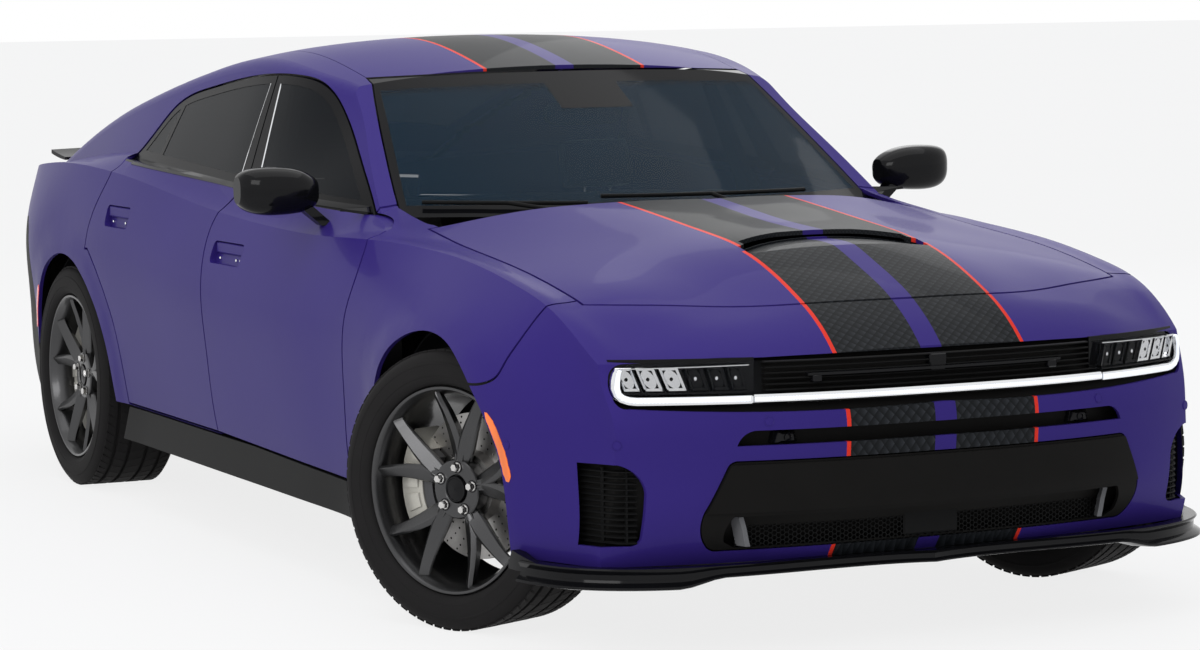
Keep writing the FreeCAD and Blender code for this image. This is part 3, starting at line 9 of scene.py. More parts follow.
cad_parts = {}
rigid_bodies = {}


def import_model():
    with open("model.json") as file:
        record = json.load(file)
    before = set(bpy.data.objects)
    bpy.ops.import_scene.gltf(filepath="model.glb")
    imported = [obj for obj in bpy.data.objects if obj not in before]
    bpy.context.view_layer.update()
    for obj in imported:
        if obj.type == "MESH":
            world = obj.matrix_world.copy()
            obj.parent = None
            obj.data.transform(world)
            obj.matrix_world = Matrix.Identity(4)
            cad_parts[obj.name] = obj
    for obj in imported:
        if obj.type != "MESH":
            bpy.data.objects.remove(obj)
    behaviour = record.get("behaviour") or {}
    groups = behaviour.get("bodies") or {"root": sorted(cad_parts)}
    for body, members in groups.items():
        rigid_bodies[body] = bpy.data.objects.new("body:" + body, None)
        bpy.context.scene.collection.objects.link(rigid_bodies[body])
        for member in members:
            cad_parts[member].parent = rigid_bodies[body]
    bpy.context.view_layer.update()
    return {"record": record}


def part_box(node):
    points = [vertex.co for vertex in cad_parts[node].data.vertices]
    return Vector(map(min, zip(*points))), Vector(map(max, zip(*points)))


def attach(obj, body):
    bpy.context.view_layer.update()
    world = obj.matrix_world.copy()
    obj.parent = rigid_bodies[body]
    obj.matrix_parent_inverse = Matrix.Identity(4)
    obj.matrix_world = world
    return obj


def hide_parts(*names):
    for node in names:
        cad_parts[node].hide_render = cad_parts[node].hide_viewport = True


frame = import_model()
SIDES = (("left", 1), ("right", -1))


# Materials: shader values written as Python expressions.
class Value:
    """A shader socket whose sums and products add Math nodes."""

    def __init__(self, shader, socket):
        self.shader = shader
        self.socket = socket

    def maths(self, operation, *others, swap=False):
        values = [self, *others]
        if swap:
            values.reverse()
        return self.shader.node("ShaderNodeMath", {"operation": operation}, *values)

    def __add__(self, other):
        return self.maths("ADD", other)

    __radd__ = __add__

    def __sub__(self, other):
        return self.maths("SUBTRACT", other)

    def __rsub__(self, other):
        return self.maths("SUBTRACT", other, swap=True)

    def __mul__(self, other):
        return self.maths("MULTIPLY", other)

    __rmul__ = __mul__

    def __truediv__(self, other):
        return self.maths("DIVIDE", other)

    def __gt__(self, other):
        return self.maths("GREATER_THAN", other)

    def __lt__(self, other):
        return self.maths("LESS_THAN", other)

    def abs(self):
        return self.maths("ABSOLUTE")

    def fraction(self):
        return self.maths("FRACT")

    def sine(self):
        return self.maths("SINE")

    def either(self, other):
        return self.maths("MAXIMUM", other)

    def least(self, other):
        return self.maths("MINIMUM", other)


class Shader:
    """One material's node tree around a Principled shader."""

    def __init__(self, name, **constants):
        self.material = bpy.data.materials.new(name)
        self.material.use_nodes = True
        self.tree = self.material.node_tree
        self.surface = self.tree.nodes["Principled BSDF"]
        for socket, value in constants.items():
            self.surface.inputs[socket.replace("_", " ")].default_value = value

    def fill(self, socket, value):
        """Link a value to a socket, or set the socket to a constant."""
        if isinstance(value, Value):
            self.tree.links.new(value.socket, socket)
        else:
            socket.default_value = value

    def node(self, kind, settings, *values, out=0, **named):
        node = self.tree.nodes.new(kind)
        for setting, value in settings.items():
            setattr(node, setting, value)
        for key, value in [*enumerate(values), *named.items()]:
            self.fill(node.inputs[key if isinstance(key, int) else key.replace("_", " ")], value)
        return Value(self, node.outputs[out])

    def place(self):
        """Object coordinates."""
        return self.node("ShaderNodeTexCoord", {}, out=3)

    def axes(self):
        place = self.place()
        return [self.node("ShaderNodeSeparateXYZ", {}, place, out=i) for i in range(3)]

    def noise(self, scale, detail=2.0):
        return self.node("ShaderNodeTexNoise", {}, Vector=self.place(), Scale=scale, Detail=detail)

    def blend(self, share, low, high):
        """Colour between low and high."""
        mix = self.tree.nodes.new("ShaderNodeMix")
        mix.data_type = "RGBA"
        for index, value in ((0, share), (6, low), (7, high)):
            self.fill(mix.inputs[index], value)
        return Value(self, mix.outputs[2])

    def feed(self, socket, value):
        self.tree.links.new(value.socket, self.surface.inputs[socket])

    def bump(self, height, distance, strength=0.5):
        self.feed("Normal", self.node("ShaderNodeBump", {}, Height=height, Distance=distance, Strength=strength))


def colour(red, green, blue):
    return (red, green, blue, 1.0)


def toned(base, share):
    """The base colour made darker or lighter."""
    return colour(*(min(1.0, c * share) for c in base))


VIOLET = colour(0.029, 0.016, 0.155)
VIOLET_LIGHT = colour(0.046, 0.027, 0.230)
STRIPE_BLACK = colour(0.007, 0.008, 0.009)
STRIPE_GREY = colour(0.036, 0.039, 0.045)
LINE_RED = colour(0.80, 0.040, 0.022)
BLACK = colour(0.005, 0.005, 0.006)
# The twin stripes: their outer and inner edges from the middle of the car, their bright line's width, the place
# ahead of which the scales are large, and the scales' sizes.
STRIPE_OUTER = 0.263
STRIPE_INNER = 0.030
LINE_WIDTH = 0.011
STEP_PLACE = -2.06
SCALE_LARGE = 0.036
SCALE_SMALL = 0.013
# Where the black of the window frames starts: its height at y 0, and its rise rearwards.
FRAME_FOOT, FRAME_SLOPE = 1.0465, 0.0405
# The windshield's border: dots to the metre, the heights where they start and where it is solid, and its foot.
DOT_ROWS = 160
FRIT_DOTS, FRIT_SOLID, FRIT_FOOT = 1.336, 1.354, 1.034
# Half the width left clear at one metre up, how it narrows upwards, and the mirror's patch.
FRIT_HALF, FRIT_LEAN = 0.724, 0.352
PATCH_HALF, PATCH_FOOT = 0.115, 1.282
# Rows of drilled holes in a brake disc, drawn as black dots of painted shade: their radii, the holes in a row, and a
# hole's radius.
DRILL_ROWS = (0.108, 0.128, 0.148, 0.168, 0.182)
DRILL_COUNT, DRILL_RADIUS = 30, 0.0028


def scales(x, along, size):
    """Overlapping diamond scales: a height from 0 to 1 that rises across each diamond."""
    first = ((x * 1.25 + along) / size).fraction()
    second = ((x * 1.25 - along) / size).fraction()
    return first * second


def paint(name, striped=False, frames=False):
    """Violet metallic paint under clear coat, with the twin stripes or black window frames where a panel has them."""
    shader = Shader(name, Coat_Weight=0.10, Coat_Roughness=0.04, Specular_IOR_Level=0.03)
    flake = shader.noise(2200.0, 0.0)
    soft = shader.noise(2.2)
    body = shader.blend(flake * 0.45 + soft * 0.3, VIOLET, VIOLET_LIGHT)
    rough = 0.30 + flake * 0.14
    metal = 0.08 + flake * 0.08
    height = flake * 0.04
    if striped:
        x, y, z = shader.axes()
        across = x.abs()
        ahead = y < STEP_PLACE
        outer = STRIPE_OUTER + ahead * 0.010
        inside = (across < outer) * (across > STRIPE_INNER)
        line = (across < outer) * (across > outer - LINE_WIDTH)
        large = scales(x, y + z, SCALE_LARGE)
        small = scales(x, y + z, SCALE_SMALL)
        cell = large * ahead + small * (1 - ahead)
        film = shader.blend(cell, STRIPE_BLACK, STRIPE_GREY)
        body = shader.blend(inside, body, film)
        body = shader.blend(line, body, LINE_RED)
        metal = metal * (1 - inside)
        rough = rough * (1 - inside) + inside * 0.40
        height = height * (1 - inside) + cell * inside * (1 - line)
    if frames:
        _, y, z = shader.axes()
        above = (z - y * FRAME_SLOPE) > FRAME_FOOT
        body = shader.blend(above, body, BLACK)
        metal = metal * (1 - above)
        rough = rough * (1 - above) + above * 0.22
    shader.bump(height, 0.0006, 0.35)
    shader.feed("Base Color", body)
    shader.feed("Roughness", rough)
    shader.feed("Metallic", metal)
    return shader.material


def plain(name, base, rough, metal=0.0, grain=600.0, depth=0.0001, spread=0.25, **more):
    """A finish whose colour and roughness vary a little with a fine grain."""
    more.setdefault("Specular_IOR_Level", 0.5 if metal else 0.05)
    shader = Shader(name, Metallic=metal, **more)
    fine = shader.noise(grain, 3.0)
    worn = shader.noise(8.0, 2.0)
    shader.feed("Base Color", shader.blend(fine * 0.5 + worn * 0.5, toned(base, 1 - spread), toned(base, 1 + spread)))
    shader.feed("Roughness", rough + (fine - 0.5) * 0.15)
    shader.bump(fine, depth, 0.4)
    return shader.material


def glass(name, tint, opacity, frit=False):
    """Tinted glass; the windshield has a black painted border and a patch for the mirror."""
    shader = Shader(name, Roughness=0.04, Specular_IOR_Level=0.05)
    haze = shader.noise(4.0)
    body = shader.blend(haze, toned(tint, 0.8), colour(*tint))
    alpha = opacity + (haze - 0.5) * 0.04
    if frit:
        x, _, z = shader.axes()
        across = x.abs()
        column, row = (x * DOT_ROWS).fraction() - 0.5, (z * DOT_ROWS).fraction() - 0.5
        dots = column * column + row * row
        rise = z + across * across * 0.035
        band = (rise > FRIT_SOLID).either((dots * 5) < (rise - FRIT_DOTS) / 0.02)
        edge = across > (FRIT_HALF - (z - 1.0) * FRIT_LEAN)
        patch = (across < PATCH_HALF) * (z > PATCH_FOOT)
        foot = z < FRIT_FOOT
        black = band.either(edge).either(patch).either(foot)
        body = shader.blend(black, body, BLACK)
        alpha = alpha.either(black)
    shader.feed("Base Color", body)
    shader.feed("Alpha", alpha)
    return shader.material


def drilled(name):
    """Bright disc steel with turning marks, and rows of drilled holes drawn as black dots of painted shade, from the UV
    map: turns and radius.
    """
    shader = Shader(name, Metallic=1.0)
    uv = shader.node("ShaderNodeUVMap", {"uv_map": "UVMap"})
    turn, radius = [shader.node("ShaderNodeSeparateXYZ", {}, uv, out=i) for i in range(2)]
    holes = None
    for row, place in enumerate(DRILL_ROWS):
        round_part = ((turn * DRILL_COUNT + row * 0.2).fraction() - 0.5) * (math.tau * place / DRILL_COUNT)
        out_part = radius - place
        hole = (round_part * round_part + out_part * out_part) < DRILL_RADIUS ** 2
        holes = hole if holes is None else holes.either(hole)
    marks = (radius * 9000).sine() * 0.5 + 0.5
    grain = shader.noise(60.0)
    steel = shader.blend(marks * 0.4 + grain * 0.4, colour(0.30, 0.29, 0.28), colour(0.52, 0.51, 0.50))
    # The holes are coloured black: painted shade standing in for the dark inside of each hole.
    shader.feed("Base Color", shader.blend(holes, steel, BLACK))
    shader.feed("Roughness", 0.3 + marks * 0.12 + holes * 0.5)
    shader.bump(marks * 0.1 - holes, 0.0008, 0.5)
    return shader.material


def lamp_shade(name, base, strength):
    """A lens with moulded ribs and a little light of its own."""
    shader = Shader(name, Roughness=0.08, Coat_Weight=0.6, Coat_Roughness=0.03, Emission_Strength=strength)
    x, y, _ = shader.axes()
    ribs = ((x + y * 0.3) * 900).sine() * 0.5 + 0.5
    body = shader.blend(ribs, toned(base, 0.78), colour(*base))
    shader.feed("Base Color", body)
    shader.feed("Emission Color", body)
    shader.bump(ribs, 0.0003, 0.4)
    return shader.material


def leather(name, base):
    """Leather: a crackled grain with a soft sheen."""
    shader = Shader(name, Sheen_Weight=0.15, Sheen_Roughness=0.5)
    cells = shader.node("ShaderNodeTexVoronoi", {"feature": "DISTANCE_TO_EDGE"}, Vector=shader.place(), Scale=420.0)
    worn = shader.noise(6.0, 3.0)
    crease = (cells * 6).least(1.0)
    shader.feed("Base Color", shader.blend(crease * 0.6 + worn * 0.4, toned(base, 0.55), colour(*base)))
    shader.feed("Roughness", 0.5 - crease * 0.1)
    shader.bump(crease, 0.0006, 0.5)
    return shader.material


PAINT = paint("violet_paint")
STRIPED = paint("violet_paint_with_stripes", striped=True)
DOOR_PAINT = paint("violet_paint_black_frames", frames=True)
GLOSS_BLACK = plain("gloss_black", (0.005, 0.005, 0.006), 0.14, Coat_Weight=0.22, Coat_Roughness=0.05)
SATIN_BLACK = plain("satin_black", (0.010, 0.010, 0.010), 0.46)
BUMPER_BLACK = plain("bumper_black", (0.009, 0.0085, 0.008), 0.50, grain=1400.0, depth=0.0003)
GREY_PLASTIC = plain("grey_plastic", (0.16, 0.16, 0.165), 0.35)
RUBBER = plain("tyre_rubber", (0.020, 0.019, 0.019), 0.66, grain=300.0, depth=0.0004)
WHEEL_BLACK = plain("wheel_black", (0.060, 0.060, 0.062), 0.30, metal=0.9, Coat_Weight=0.3, Coat_Roughness=0.1)
NUT_STEEL = plain("nut_steel", (0.62, 0.61, 0.60), 0.18, metal=1.0)
DISC_STEEL = drilled("disc_steel")
CALIPER_SILVER = plain("caliper_silver", (0.56, 0.54, 0.48), 0.34, metal=0.35, grain=300.0, depth=0.0003)
CHROME = plain("chrome", (0.80, 0.81, 0.83), 0.08, metal=1.0, spread=0.05)
CAST = plain("cast_metal", (0.10, 0.10, 0.105), 0.5, metal=0.9, depth=0.0005)
STEEL = plain("exhaust_steel", (0.45, 0.44, 0.43), 0.28, metal=1.0)
UNDERCOAT = plain("undercoat", (0.010, 0.010, 0.011), 0.8, depth=0.0008)
TRIM = plain("cabin_trim", (0.032, 0.032, 0.035), 0.55, grain=900.0, depth=0.0003)
LEATHER = leather("seat_leather", (0.060, 0.055, 0.058))
GLASS = glass("tinted_glass", (0.005, 0.007, 0.010), 0.86)
WINDSHIELD = glass("windshield_glass", (0.006, 0.026, 0.048), 0.56, frit=True)
MIRROR = plain("mirror_glass", (0.6, 0.62, 0.65), 0.04, metal=1.0, spread=0.04)
CLEAR = glass("lamp_cover", (0.02, 0.022, 0.026), 0.10)
WHITE_LENS = lamp_shade("light_bar_lens", (0.92, 0.95, 1.0), 0.55)
AMBER = lamp_shade("amber_lens", (0.95, 0.18, 0.015), 0.25)
RED_GLOW = lamp_shade("red_line", (0.85, 0.03, 0.02), 0.3)
TAIL_GLASS = plain("tail_lens", (0.09, 0.004, 0.005), 0.1, Coat_Weight=1.0)

FINISHES = {
    "hood": STRIPED, "roof_panel": STRIPED, "tailgate": STRIPED, "front_fascia": STRIPED,
    "front_fenders": PAINT, "body_sides": PAINT,
    "grille": BUMPER_BLACK, "front_splitter": GLOSS_BLACK, "cowl": SATIN_BLACK, "spoiler": GLOSS_BLACK,
    "side_skirts": SATIN_BLACK, "rear_fascia": BUMPER_BLACK, "rear_diffuser": SATIN_BLACK,
    "wheel_liners": UNDERCOAT, "wipers": SATIN_BLACK, "door_posts": UNDERCOAT,
    "mirror_left": GLOSS_BLACK, "mirror_right": GLOSS_BLACK, "windshield": WINDSHIELD,
    "tailgate_glass": GLASS, "headlamps": CHROME, "tail_lamp": TAIL_GLASS, "rear_knuckles": CAST,
    "front_suspension": CAST, "rear_suspension": CAST, "engine": CAST, "radiator": CAST, "exhaust": STEEL,
    "floor_pan": UNDERCOAT, "dashboard": TRIM, "console": TRIM, "steering_wheel": TRIM,
    "front_seats": LEATHER, "rear_seat": LEATHER,
}
for side_name, _ in SIDES:
    FINISHES["knuckle_" + side_name] = CAST
    for end in ("front", "rear"):
        FINISHES[f"door_{end}_{side_name}"] = DOOR_PAINT
        FINISHES[f"door_glass_{end}_{side_name}"] = GLASS
        FINISHES[f"tyre_{end}_{side_name}"] = RUBBER
        FINISHES[f"rim_{end}_{side_name}"] = WHEEL_BLACK
for node, finish in FINISHES.items():
    slots = bpy.data.objects[node].data.materials
    slots.clear()
    slots.append(finish)


# Mesh helpers.
class Sheet:
    """Points and faces gathered from several shapes for one piece."""

    def __init__(self):
        self.points = []
        self.faces = []

    def add(self, points, faces):
        start = len(self.points)
        self.points += [Vector(p) for p in points]
        self.faces += [[start + i for i in face] for face in faces]

    def join(self, other):
        self.add(other.points, other.faces)

    def mapped(self, place):
        """A new sheet with every point put through place."""
        result = Sheet()
        result.add([place(p) for p in self.points], self.faces)
        return result

    def loft(self, rings, caps=True):
        """Skin over rings of equal count."""
        count = len(rings[0])
        faces = []
        for row in range(len(rings) - 1):
            for i in range(count):
                j = (i + 1) % count
                a, b = row * count, (row + 1) * count
                faces.append([a + i, a + j, b + j, b + i])
        if caps:
            last = (len(rings) - 1) * count
            faces += [list(range(count))[::-1], [last + i for i in range(count)]]
        self.add([p for ring in rings for p in ring], faces)
        return self

    def turned(self, profile, steps, place, start=0.0, sweep=math.tau):
        """Surface of revolution: the profile holds (along, radius); place maps (along, radius, angle)."""
        whole = abs(sweep - math.tau) < 1e-6
        count = steps if whole else steps + 1
        rings = [[place(u, r, start + sweep * i / steps) for u, r in profile] for i in range(count)]
        if whole:
            rings.append(rings[0])
        return self.loft(rings, caps=not whole)

    def box(self, low, high, bevel=0.0):
        """Box whose long edges and ends are chamfered."""
        (x0, y0, z0), (x1, y1, z1) = low, high
        b = bevel
        section = [(y0 + b, z0), (y1 - b, z0), (y1, z0 + b), (y1, z1 - b), (y1 - b, z1), (y0 + b, z1),
                   (y0, z1 - b), (y0, z0 + b)] if b else [(y0, z0), (y1, z0), (y1, z1), (y0, z1)]
        shrink = [((y0 + y1) / 2 + (y - (y0 + y1) / 2) * (1 - 2 * b / (y1 - y0)),
                   (z0 + z1) / 2 + (z - (z0 + z1) / 2) * (1 - 2 * b / (z1 - z0))) for y, z in section]
        rows = [(x0, shrink), (x0 + b, section), (x1 - b, section), (x1, shrink)] if b else \
               [(x0, section), (x1, section)]
        return self.loft([[(x, y, z) for y, z in ring] for x, ring in rows])

    def piece(self, name, finish, body, slot, smooth=True, crease=0.6):
        """The sheet as a mesh object that rides on a body."""
        mesh = bpy.data.meshes.new(name)
        mesh.from_pydata([tuple(p) for p in self.points], [], self.faces)
        mesh.validate()
        mesh.materials.append(finish)
        work = bmesh.new()
        work.from_mesh(mesh)
        bmesh.ops.remove_doubles(work, verts=work.verts, dist=1e-6)
        bmesh.ops.recalc_face_normals(work, faces=work.faces)
        for face in work.faces:
            face.smooth = smooth
        for edge in work.edges:
            if len(edge.link_faces) == 2 and edge.calc_face_angle(0.0) > crease:
                edge.smooth = False
        work.to_mesh(mesh)
        work.free()
        holder = bpy.data.objects.new(name, mesh)
        bpy.context.collection.objects.link(holder)
        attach(holder, body)
        return holder


def circle(steps):
    """Cosine and sine of evenly spread angles round a circle."""
    return [(math.cos(math.tau * i / steps), math.sin(math.tau * i / steps)) for i in range(steps)]


def oval(steps, across, up):
    """As circle, squared off: the smaller the two powers, the squarer the corners."""
    return [(math.copysign(abs(c) ** across, c), math.copysign(abs(s) ** up, s)) for c, s in circle(steps)]


def round_rings(profile, steps, spot):
    """Round rings: the profile holds (radius, depth), and spot(across, up, depth) places each point."""
    return [[spot(r * c, r * s, depth) for c, s in circle(steps)] for r, depth in profile]


def oval_rings(profile, steps, powers, size, spot):
    """Squared-off rings: the profile holds (share of the size, depth)."""
    wide, high = size
    return [[spot(wide * grow * c, high * grow * s, depth) for c, s in oval(steps, *powers)]
            for grow, depth in profile]


# Places on the body's skin.
def tree_of(*nodes):
    """Ray target made of the named nodes."""
    points, faces = [], []
    for node in nodes:
        mesh = bpy.data.objects[node].data
        start = len(points)
        points += [v.co.copy() for v in mesh.vertices]
        faces += [[start + i for i in p.vertices] for p in mesh.polygons]
    return BVHTree.FromPolygons(points, faces)


def on_skin(tree, start, direction, lift=0.0):
    """Where a ray meets the skin, moved out along the skin's normal."""
    hit, normal, _, _ = tree.ray_cast(Vector(start), Vector(direction))
    if hit is None:
        raise ValueError(f"no skin at {start}")
    if normal.dot(Vector(direction)) > 0:
        normal = -normal
    return hit + normal * lift


def from_front(tree, x, z, lift):
    return on_skin(tree, (x, -4, z), (0, 1, 0), lift)


def from_side(tree, side, y, z, lift):
    """Spot on the side; over a gap between panels, the nearest edge's depth is used."""
    hit, normal, _, _ = tree.ray_cast(Vector((side * 3, y, z)), Vector((-side, 0, 0)))
    if hit is not None and abs(hit.x) > 0.5:
        return hit + (normal if normal.x * side > 0 else -normal) * lift
    near = tree.find_nearest(Vector((side * 0.93, y, z)))[0]
    return Vector((near.x + side * lift, y, z))


def strip(sheet, path, across, spot, low, high, bulge=0.0):
    """Raised strip that follows a surface: path holds (a, b, half_width); spot(a, b, lift) maps it."""
    da, db = across
    section = ((-1, low), (-1, high), (0, high + bulge), (1, high), (1, low))
    sheet.loft([[spot(a + da * half * u, b + db * half * u, lift) for u, lift in section] for a, b, half in path])


def between(a, b, steps):
    return [a + (b - a) * i / steps for i in range(steps + 1)]


# Repeats made with Geometry Nodes.
def repeat_tree(name, turning):
    """Copies of the incoming mesh, spun about X or stepped along a row, made real with one material."""
    tree = bpy.data.node_groups.new(name, "GeometryNodeTree")
    spacing = "Turn" if turning else "Step"
    for label, way, kind in (("Geometry", "INPUT", "Geometry"), ("Count", "INPUT", "Int"),
                             (spacing, "INPUT", "Float" if turning else "Vector"),
                             ("Finish", "INPUT", "Material"), ("Geometry", "OUTPUT", "Geometry")):
        tree.interface.new_socket(label, in_out=way, socket_type="NodeSocket" + kind)
    entry, leave, line, copies, real, coat = (tree.nodes.new(kind) for kind in (
        "NodeGroupInput", "NodeGroupOutput", "GeometryNodeMeshLine", "GeometryNodeInstanceOnPoints",
        "GeometryNodeRealizeInstances", "GeometryNodeSetMaterial"))
    link = tree.links.new
    link(entry.outputs["Count"], line.inputs["Count"])
    line.inputs["Offset"].default_value = (0, 0, 0)
    if turning:
        index = tree.nodes.new("GeometryNodeInputIndex")
        angle = tree.nodes.new("ShaderNodeMath")
        angle.operation = "MULTIPLY"
        vector = tree.nodes.new("ShaderNodeCombineXYZ")
        link(index.outputs[0], angle.inputs[0])
        link(entry.outputs[spacing], angle.inputs[1])
        link(angle.outputs[0], vector.inputs[0])
        link(vector.outputs[0], copies.inputs["Rotation"])
    else:
        link(entry.outputs[spacing], line.inputs["Offset"])
    link(line.outputs["Mesh"], copies.inputs["Points"])
    link(entry.outputs["Geometry"], copies.inputs["Instance"])
    link(copies.outputs[0], real.inputs[0])
    link(real.outputs[0], coat.inputs["Geometry"])
    link(entry.outputs["Finish"], coat.inputs["Material"])
    link(coat.outputs[0], leave.inputs[0])
    return tree


RING_OF = repeat_tree("ring_of", True)
ROW_OF = repeat_tree("row_of", False)


def repeated(sheet, tree, count, spacing, finish):
    """The sheet's mesh repeated by a node tree, as a new sheet."""
    mesh = bpy.data.meshes.new("repeat_base")
    mesh.from_pydata([tuple(p) for p in sheet.points], [], sheet.faces)
    base = bpy.data.objects.new("repeat_base", mesh)
    bpy.context.collection.objects.link(base)
    modifier = base.modifiers.new("repeat", "NODES")
    modifier.node_group = tree
    sockets = {item.name: item.identifier for item in tree.interface.items_tree if item.in_out == "INPUT"}
    modifier[sockets["Count"]] = count
    modifier[sockets["Turn" if "Turn" in sockets else "Step"]] = spacing
    modifier[sockets["Finish"]] = finish
    seen = base.evaluated_get(bpy.context.evaluated_depsgraph_get())
    made = bpy.data.meshes.new_from_object(seen)
    result = Sheet()
    result.add([v.co for v in made.vertices], [list(p.vertices) for p in made.polygons])
    bpy.data.objects.remove(base)
    bpy.data.meshes.remove(mesh)
    bpy.data.meshes.remove(made)
    return result


def joint_named(name):
    return next(j for j in frame["record"]["behaviour"]["joints"] if j["name"] == name)


# Wheels.
class Wheel:
    """Frame of one wheel: along its axis outwards, and round it from straight ahead."""

    def __init__(self, end, side, sign):
        joint = joint_named(f"spin_{end}_{side}")
        self.end, self.side, self.sign = end, side, sign
        self.label = f"{end}_{side}"
        self.body = joint["child"]
        self.carrier = joint["parent"]
        self.centre = Vector(joint["pos_m"])
        self.out = Vector(joint["axis"]) * sign
        self.up = Vector((0, 0, 1))
        self.fore = Vector((self.out.y, -self.out.x, 0)) * sign
        if self.fore.y > 0:
            self.fore.negate()

    def place(self, along, radius, angle):
        """Point at a distance along the axis and a radius, at an angle in radians from straight ahead."""
        return self.at(along, radius * math.cos(angle), radius * math.sin(angle))

    def at(self, along, fore, up):
        return self.centre + self.out * along + self.fore * fore + self.up * up

    def polar(self, point):
        """Angle from straight ahead, as a share of a turn, and the radius."""
        arm = point - self.centre
        fore, up = arm.dot(self.fore), arm.dot(self.up)
        return math.atan2(up, fore) / math.tau % 1, math.hypot(fore, up)

    def moved(self, sheet):
        """A sheet made about the X axis put in this wheel's place."""
        return sheet.mapped(lambda p: self.at(*p))

    def five(self, sheet, finish):
        """The sheet repeated at each spoke of this wheel."""
        turn = Matrix.Rotation(FIRST_SPOKE, 3, "X")
        return self.moved(repeated(sheet.mapped(lambda p: turn @ p), RING_OF, SPOKE_COUNT, SPOKE_STEP, finish))


WHEELS = [Wheel(end, side, sign) for end in ("front", "rear") for side, sign in SIDES]
SPOKE_COUNT = 5
FIRST_SPOKE = math.radians(12)
SPOKE_STEP = math.tau / SPOKE_COUNT
NUT_CIRCLE = 0.0575
BARREL = [(-0.120, 0.240), (-0.120, 0.268), (-0.1135, 0.268), (-0.1135, 0.2615), (0.1125, 0.2615),
          (0.1135, 0.2665), (0.1145, 0.268), (0.1205, 0.268), (0.1222, 0.2665), (0.1226, 0.2635),
          (0.1216, 0.2600), (0.1175, 0.2570), (0.1120, 0.2545), (0.1060, 0.2515), (0.0950, 0.2460),
          (0.0600, 0.2410), (-0.1000, 0.2385)]
HUB = [(0.046, 0.034), (0.046, 0.074), (0.074, 0.078), (0.0840, 0.0765), (0.0870, 0.0740), (0.0880, 0.0700),
       (0.0880, 0.0400), (0.0865, 0.0370), (0.0820, 0.0345), (0.0800, 0.0340)]
# Each leg of a spoke: distance from the axle, angle from the spoke's middle, half-width, face and depth.
LEG = [(0.058, 3.0, 0.0165, 0.0880, 0.036), (0.085, 5.6, 0.0215, 0.0905, 0.036),
       (0.120, 8.6, 0.0230, 0.0940, 0.036), (0.160, 11.6, 0.0205, 0.0995, 0.034),
       (0.200, 14.4, 0.0170, 0.1060, 0.031), (0.228, 16.3, 0.0150, 0.1115, 0.028),
       (0.246, 17.4, 0.0145, 0.1140, 0.026), (0.2565, 18.0, 0.0160, 0.1110, 0.024)]
# The web between a spoke's legs near the hub: distance from the axle, half-width and face.
WEB = ((0.040, 0.012, 0.0870), (0.080, 0.0135, 0.0850), (0.106, 0.0150, 0.0840), (0.117, 0.0160, 0.0740))


def plane_point(radius, degrees):
    angle = math.radians(degrees)
    return Vector((radius * math.cos(angle), radius * math.sin(angle)))


def leg_rings(hand):
    """Faceted rings of one leg, its ridge towards the opening beside it."""
    middles = [plane_point(radius, hand * turn) for radius, turn, *_ in LEG]
    rings = []
    for i, (radius, turn, half, face, depth) in enumerate(LEG):
        run = (middles[min(i + 1, len(LEG) - 1)] - middles[max(i - 1, 0)]).normalized()
        across = Vector((-run.y, run.x)) * hand
        section = [(-half, face - 0.0085), (-half * 0.62, face - 0.0015), (-half * 0.45, face),
                   (half * 0.86, face - 0.0160), (half, face - 0.0200), (half * 0.72, face - depth),
                   (-half * 0.72, face - depth)]
        rings.append([(u, *(middles[i] + across * v)) for v, u in section])
    return rings


def spoke_sheet():
    sheet = Sheet()
    for hand in (1, -1):
        sheet.loft(leg_rings(hand))
    return sheet.loft([[(face, radius, -half), (face, radius, half), (0.058, radius, half), (0.058, radius, -half)]
                       for radius, half, face in WEB])


def turned_sheet(profile, steps):
    return Sheet().turned(profile, steps, lambda u, r, a: Vector((u, r * math.cos(a), r * math.sin(a))))


def nut_sheet():
    """One wheel nut with a washer foot, six flats and a domed end, on its place in the nut circle."""
    rings = []
    for u, r, flats in ((0.070, 0.0125, False), (0.0895, 0.0125, False), (0.0900, 0.0105, True),
                        (0.1010, 0.0105, True), (0.1040, 0.0085, True), (0.1050, 0.0045, True)):
        ring = []
        for i, (c, s) in enumerate(circle(24)):
            a = math.tau * i / 24
            flat = 1 / math.cos((a + math.pi / 6) % (math.pi / 3) - math.pi / 6) if flats else 1.0
            ring.append((u, NUT_CIRCLE + r * flat * 0.94 * c, r * flat * 0.94 * s))
        rings.append(ring)
    return Sheet().loft(rings)


def well_sheet():
    """Ring round one nut, standing just over the hub's face."""
    profile = ((0.0165, 0.0868), (0.0160, 0.0892), (0.0142, 0.0892), (0.0138, 0.0868))
    rings = round_rings(profile, 24, lambda fore, up, u: (u, NUT_CIRCLE + fore, up))
    return Sheet().loft([*rings, rings[0]], caps=False)


CAP = [(0.079, 0.001), (0.079, 0.0335), (0.0900, 0.0335), (0.0915, 0.0325), (0.0915, 0.0290), (0.0900, 0.0280),
       (0.0905, 0.0200), (0.0922, 0.0110), (0.0928, 0.0010)]
DISC = [(-0.014, 0.088), (-0.014, 0.1895), (-0.004, 0.1905), (-0.003, 0.1880), (0.003, 0.1880), (0.004, 0.1905),
        (0.014, 0.1895), (0.014, 0.0935), (0.0445, 0.0885), (0.0445, 0.034), (0.036, 0.034), (0.036, 0.078)]


def caliper_span(wheel):
    """Angles at which the hub carrier reaches farthest out, which is where its caliper is."""
    node = f"knuckle_{wheel.side}" if wheel.end == "front" else "rear_knuckles"
    angles = []
    for vertex in bpy.data.objects[node].data.vertices:
        arm = vertex.co - wheel.centre
        fore, up = arm.dot(wheel.fore), arm.dot(wheel.up)
        if math.hypot(fore, up) > 0.2 and arm.dot(wheel.out) > -0.06 and vertex.co.x * wheel.sign > 0:
            angles.append(math.atan2(up, fore) % math.tau)
    return min(angles), max(angles)


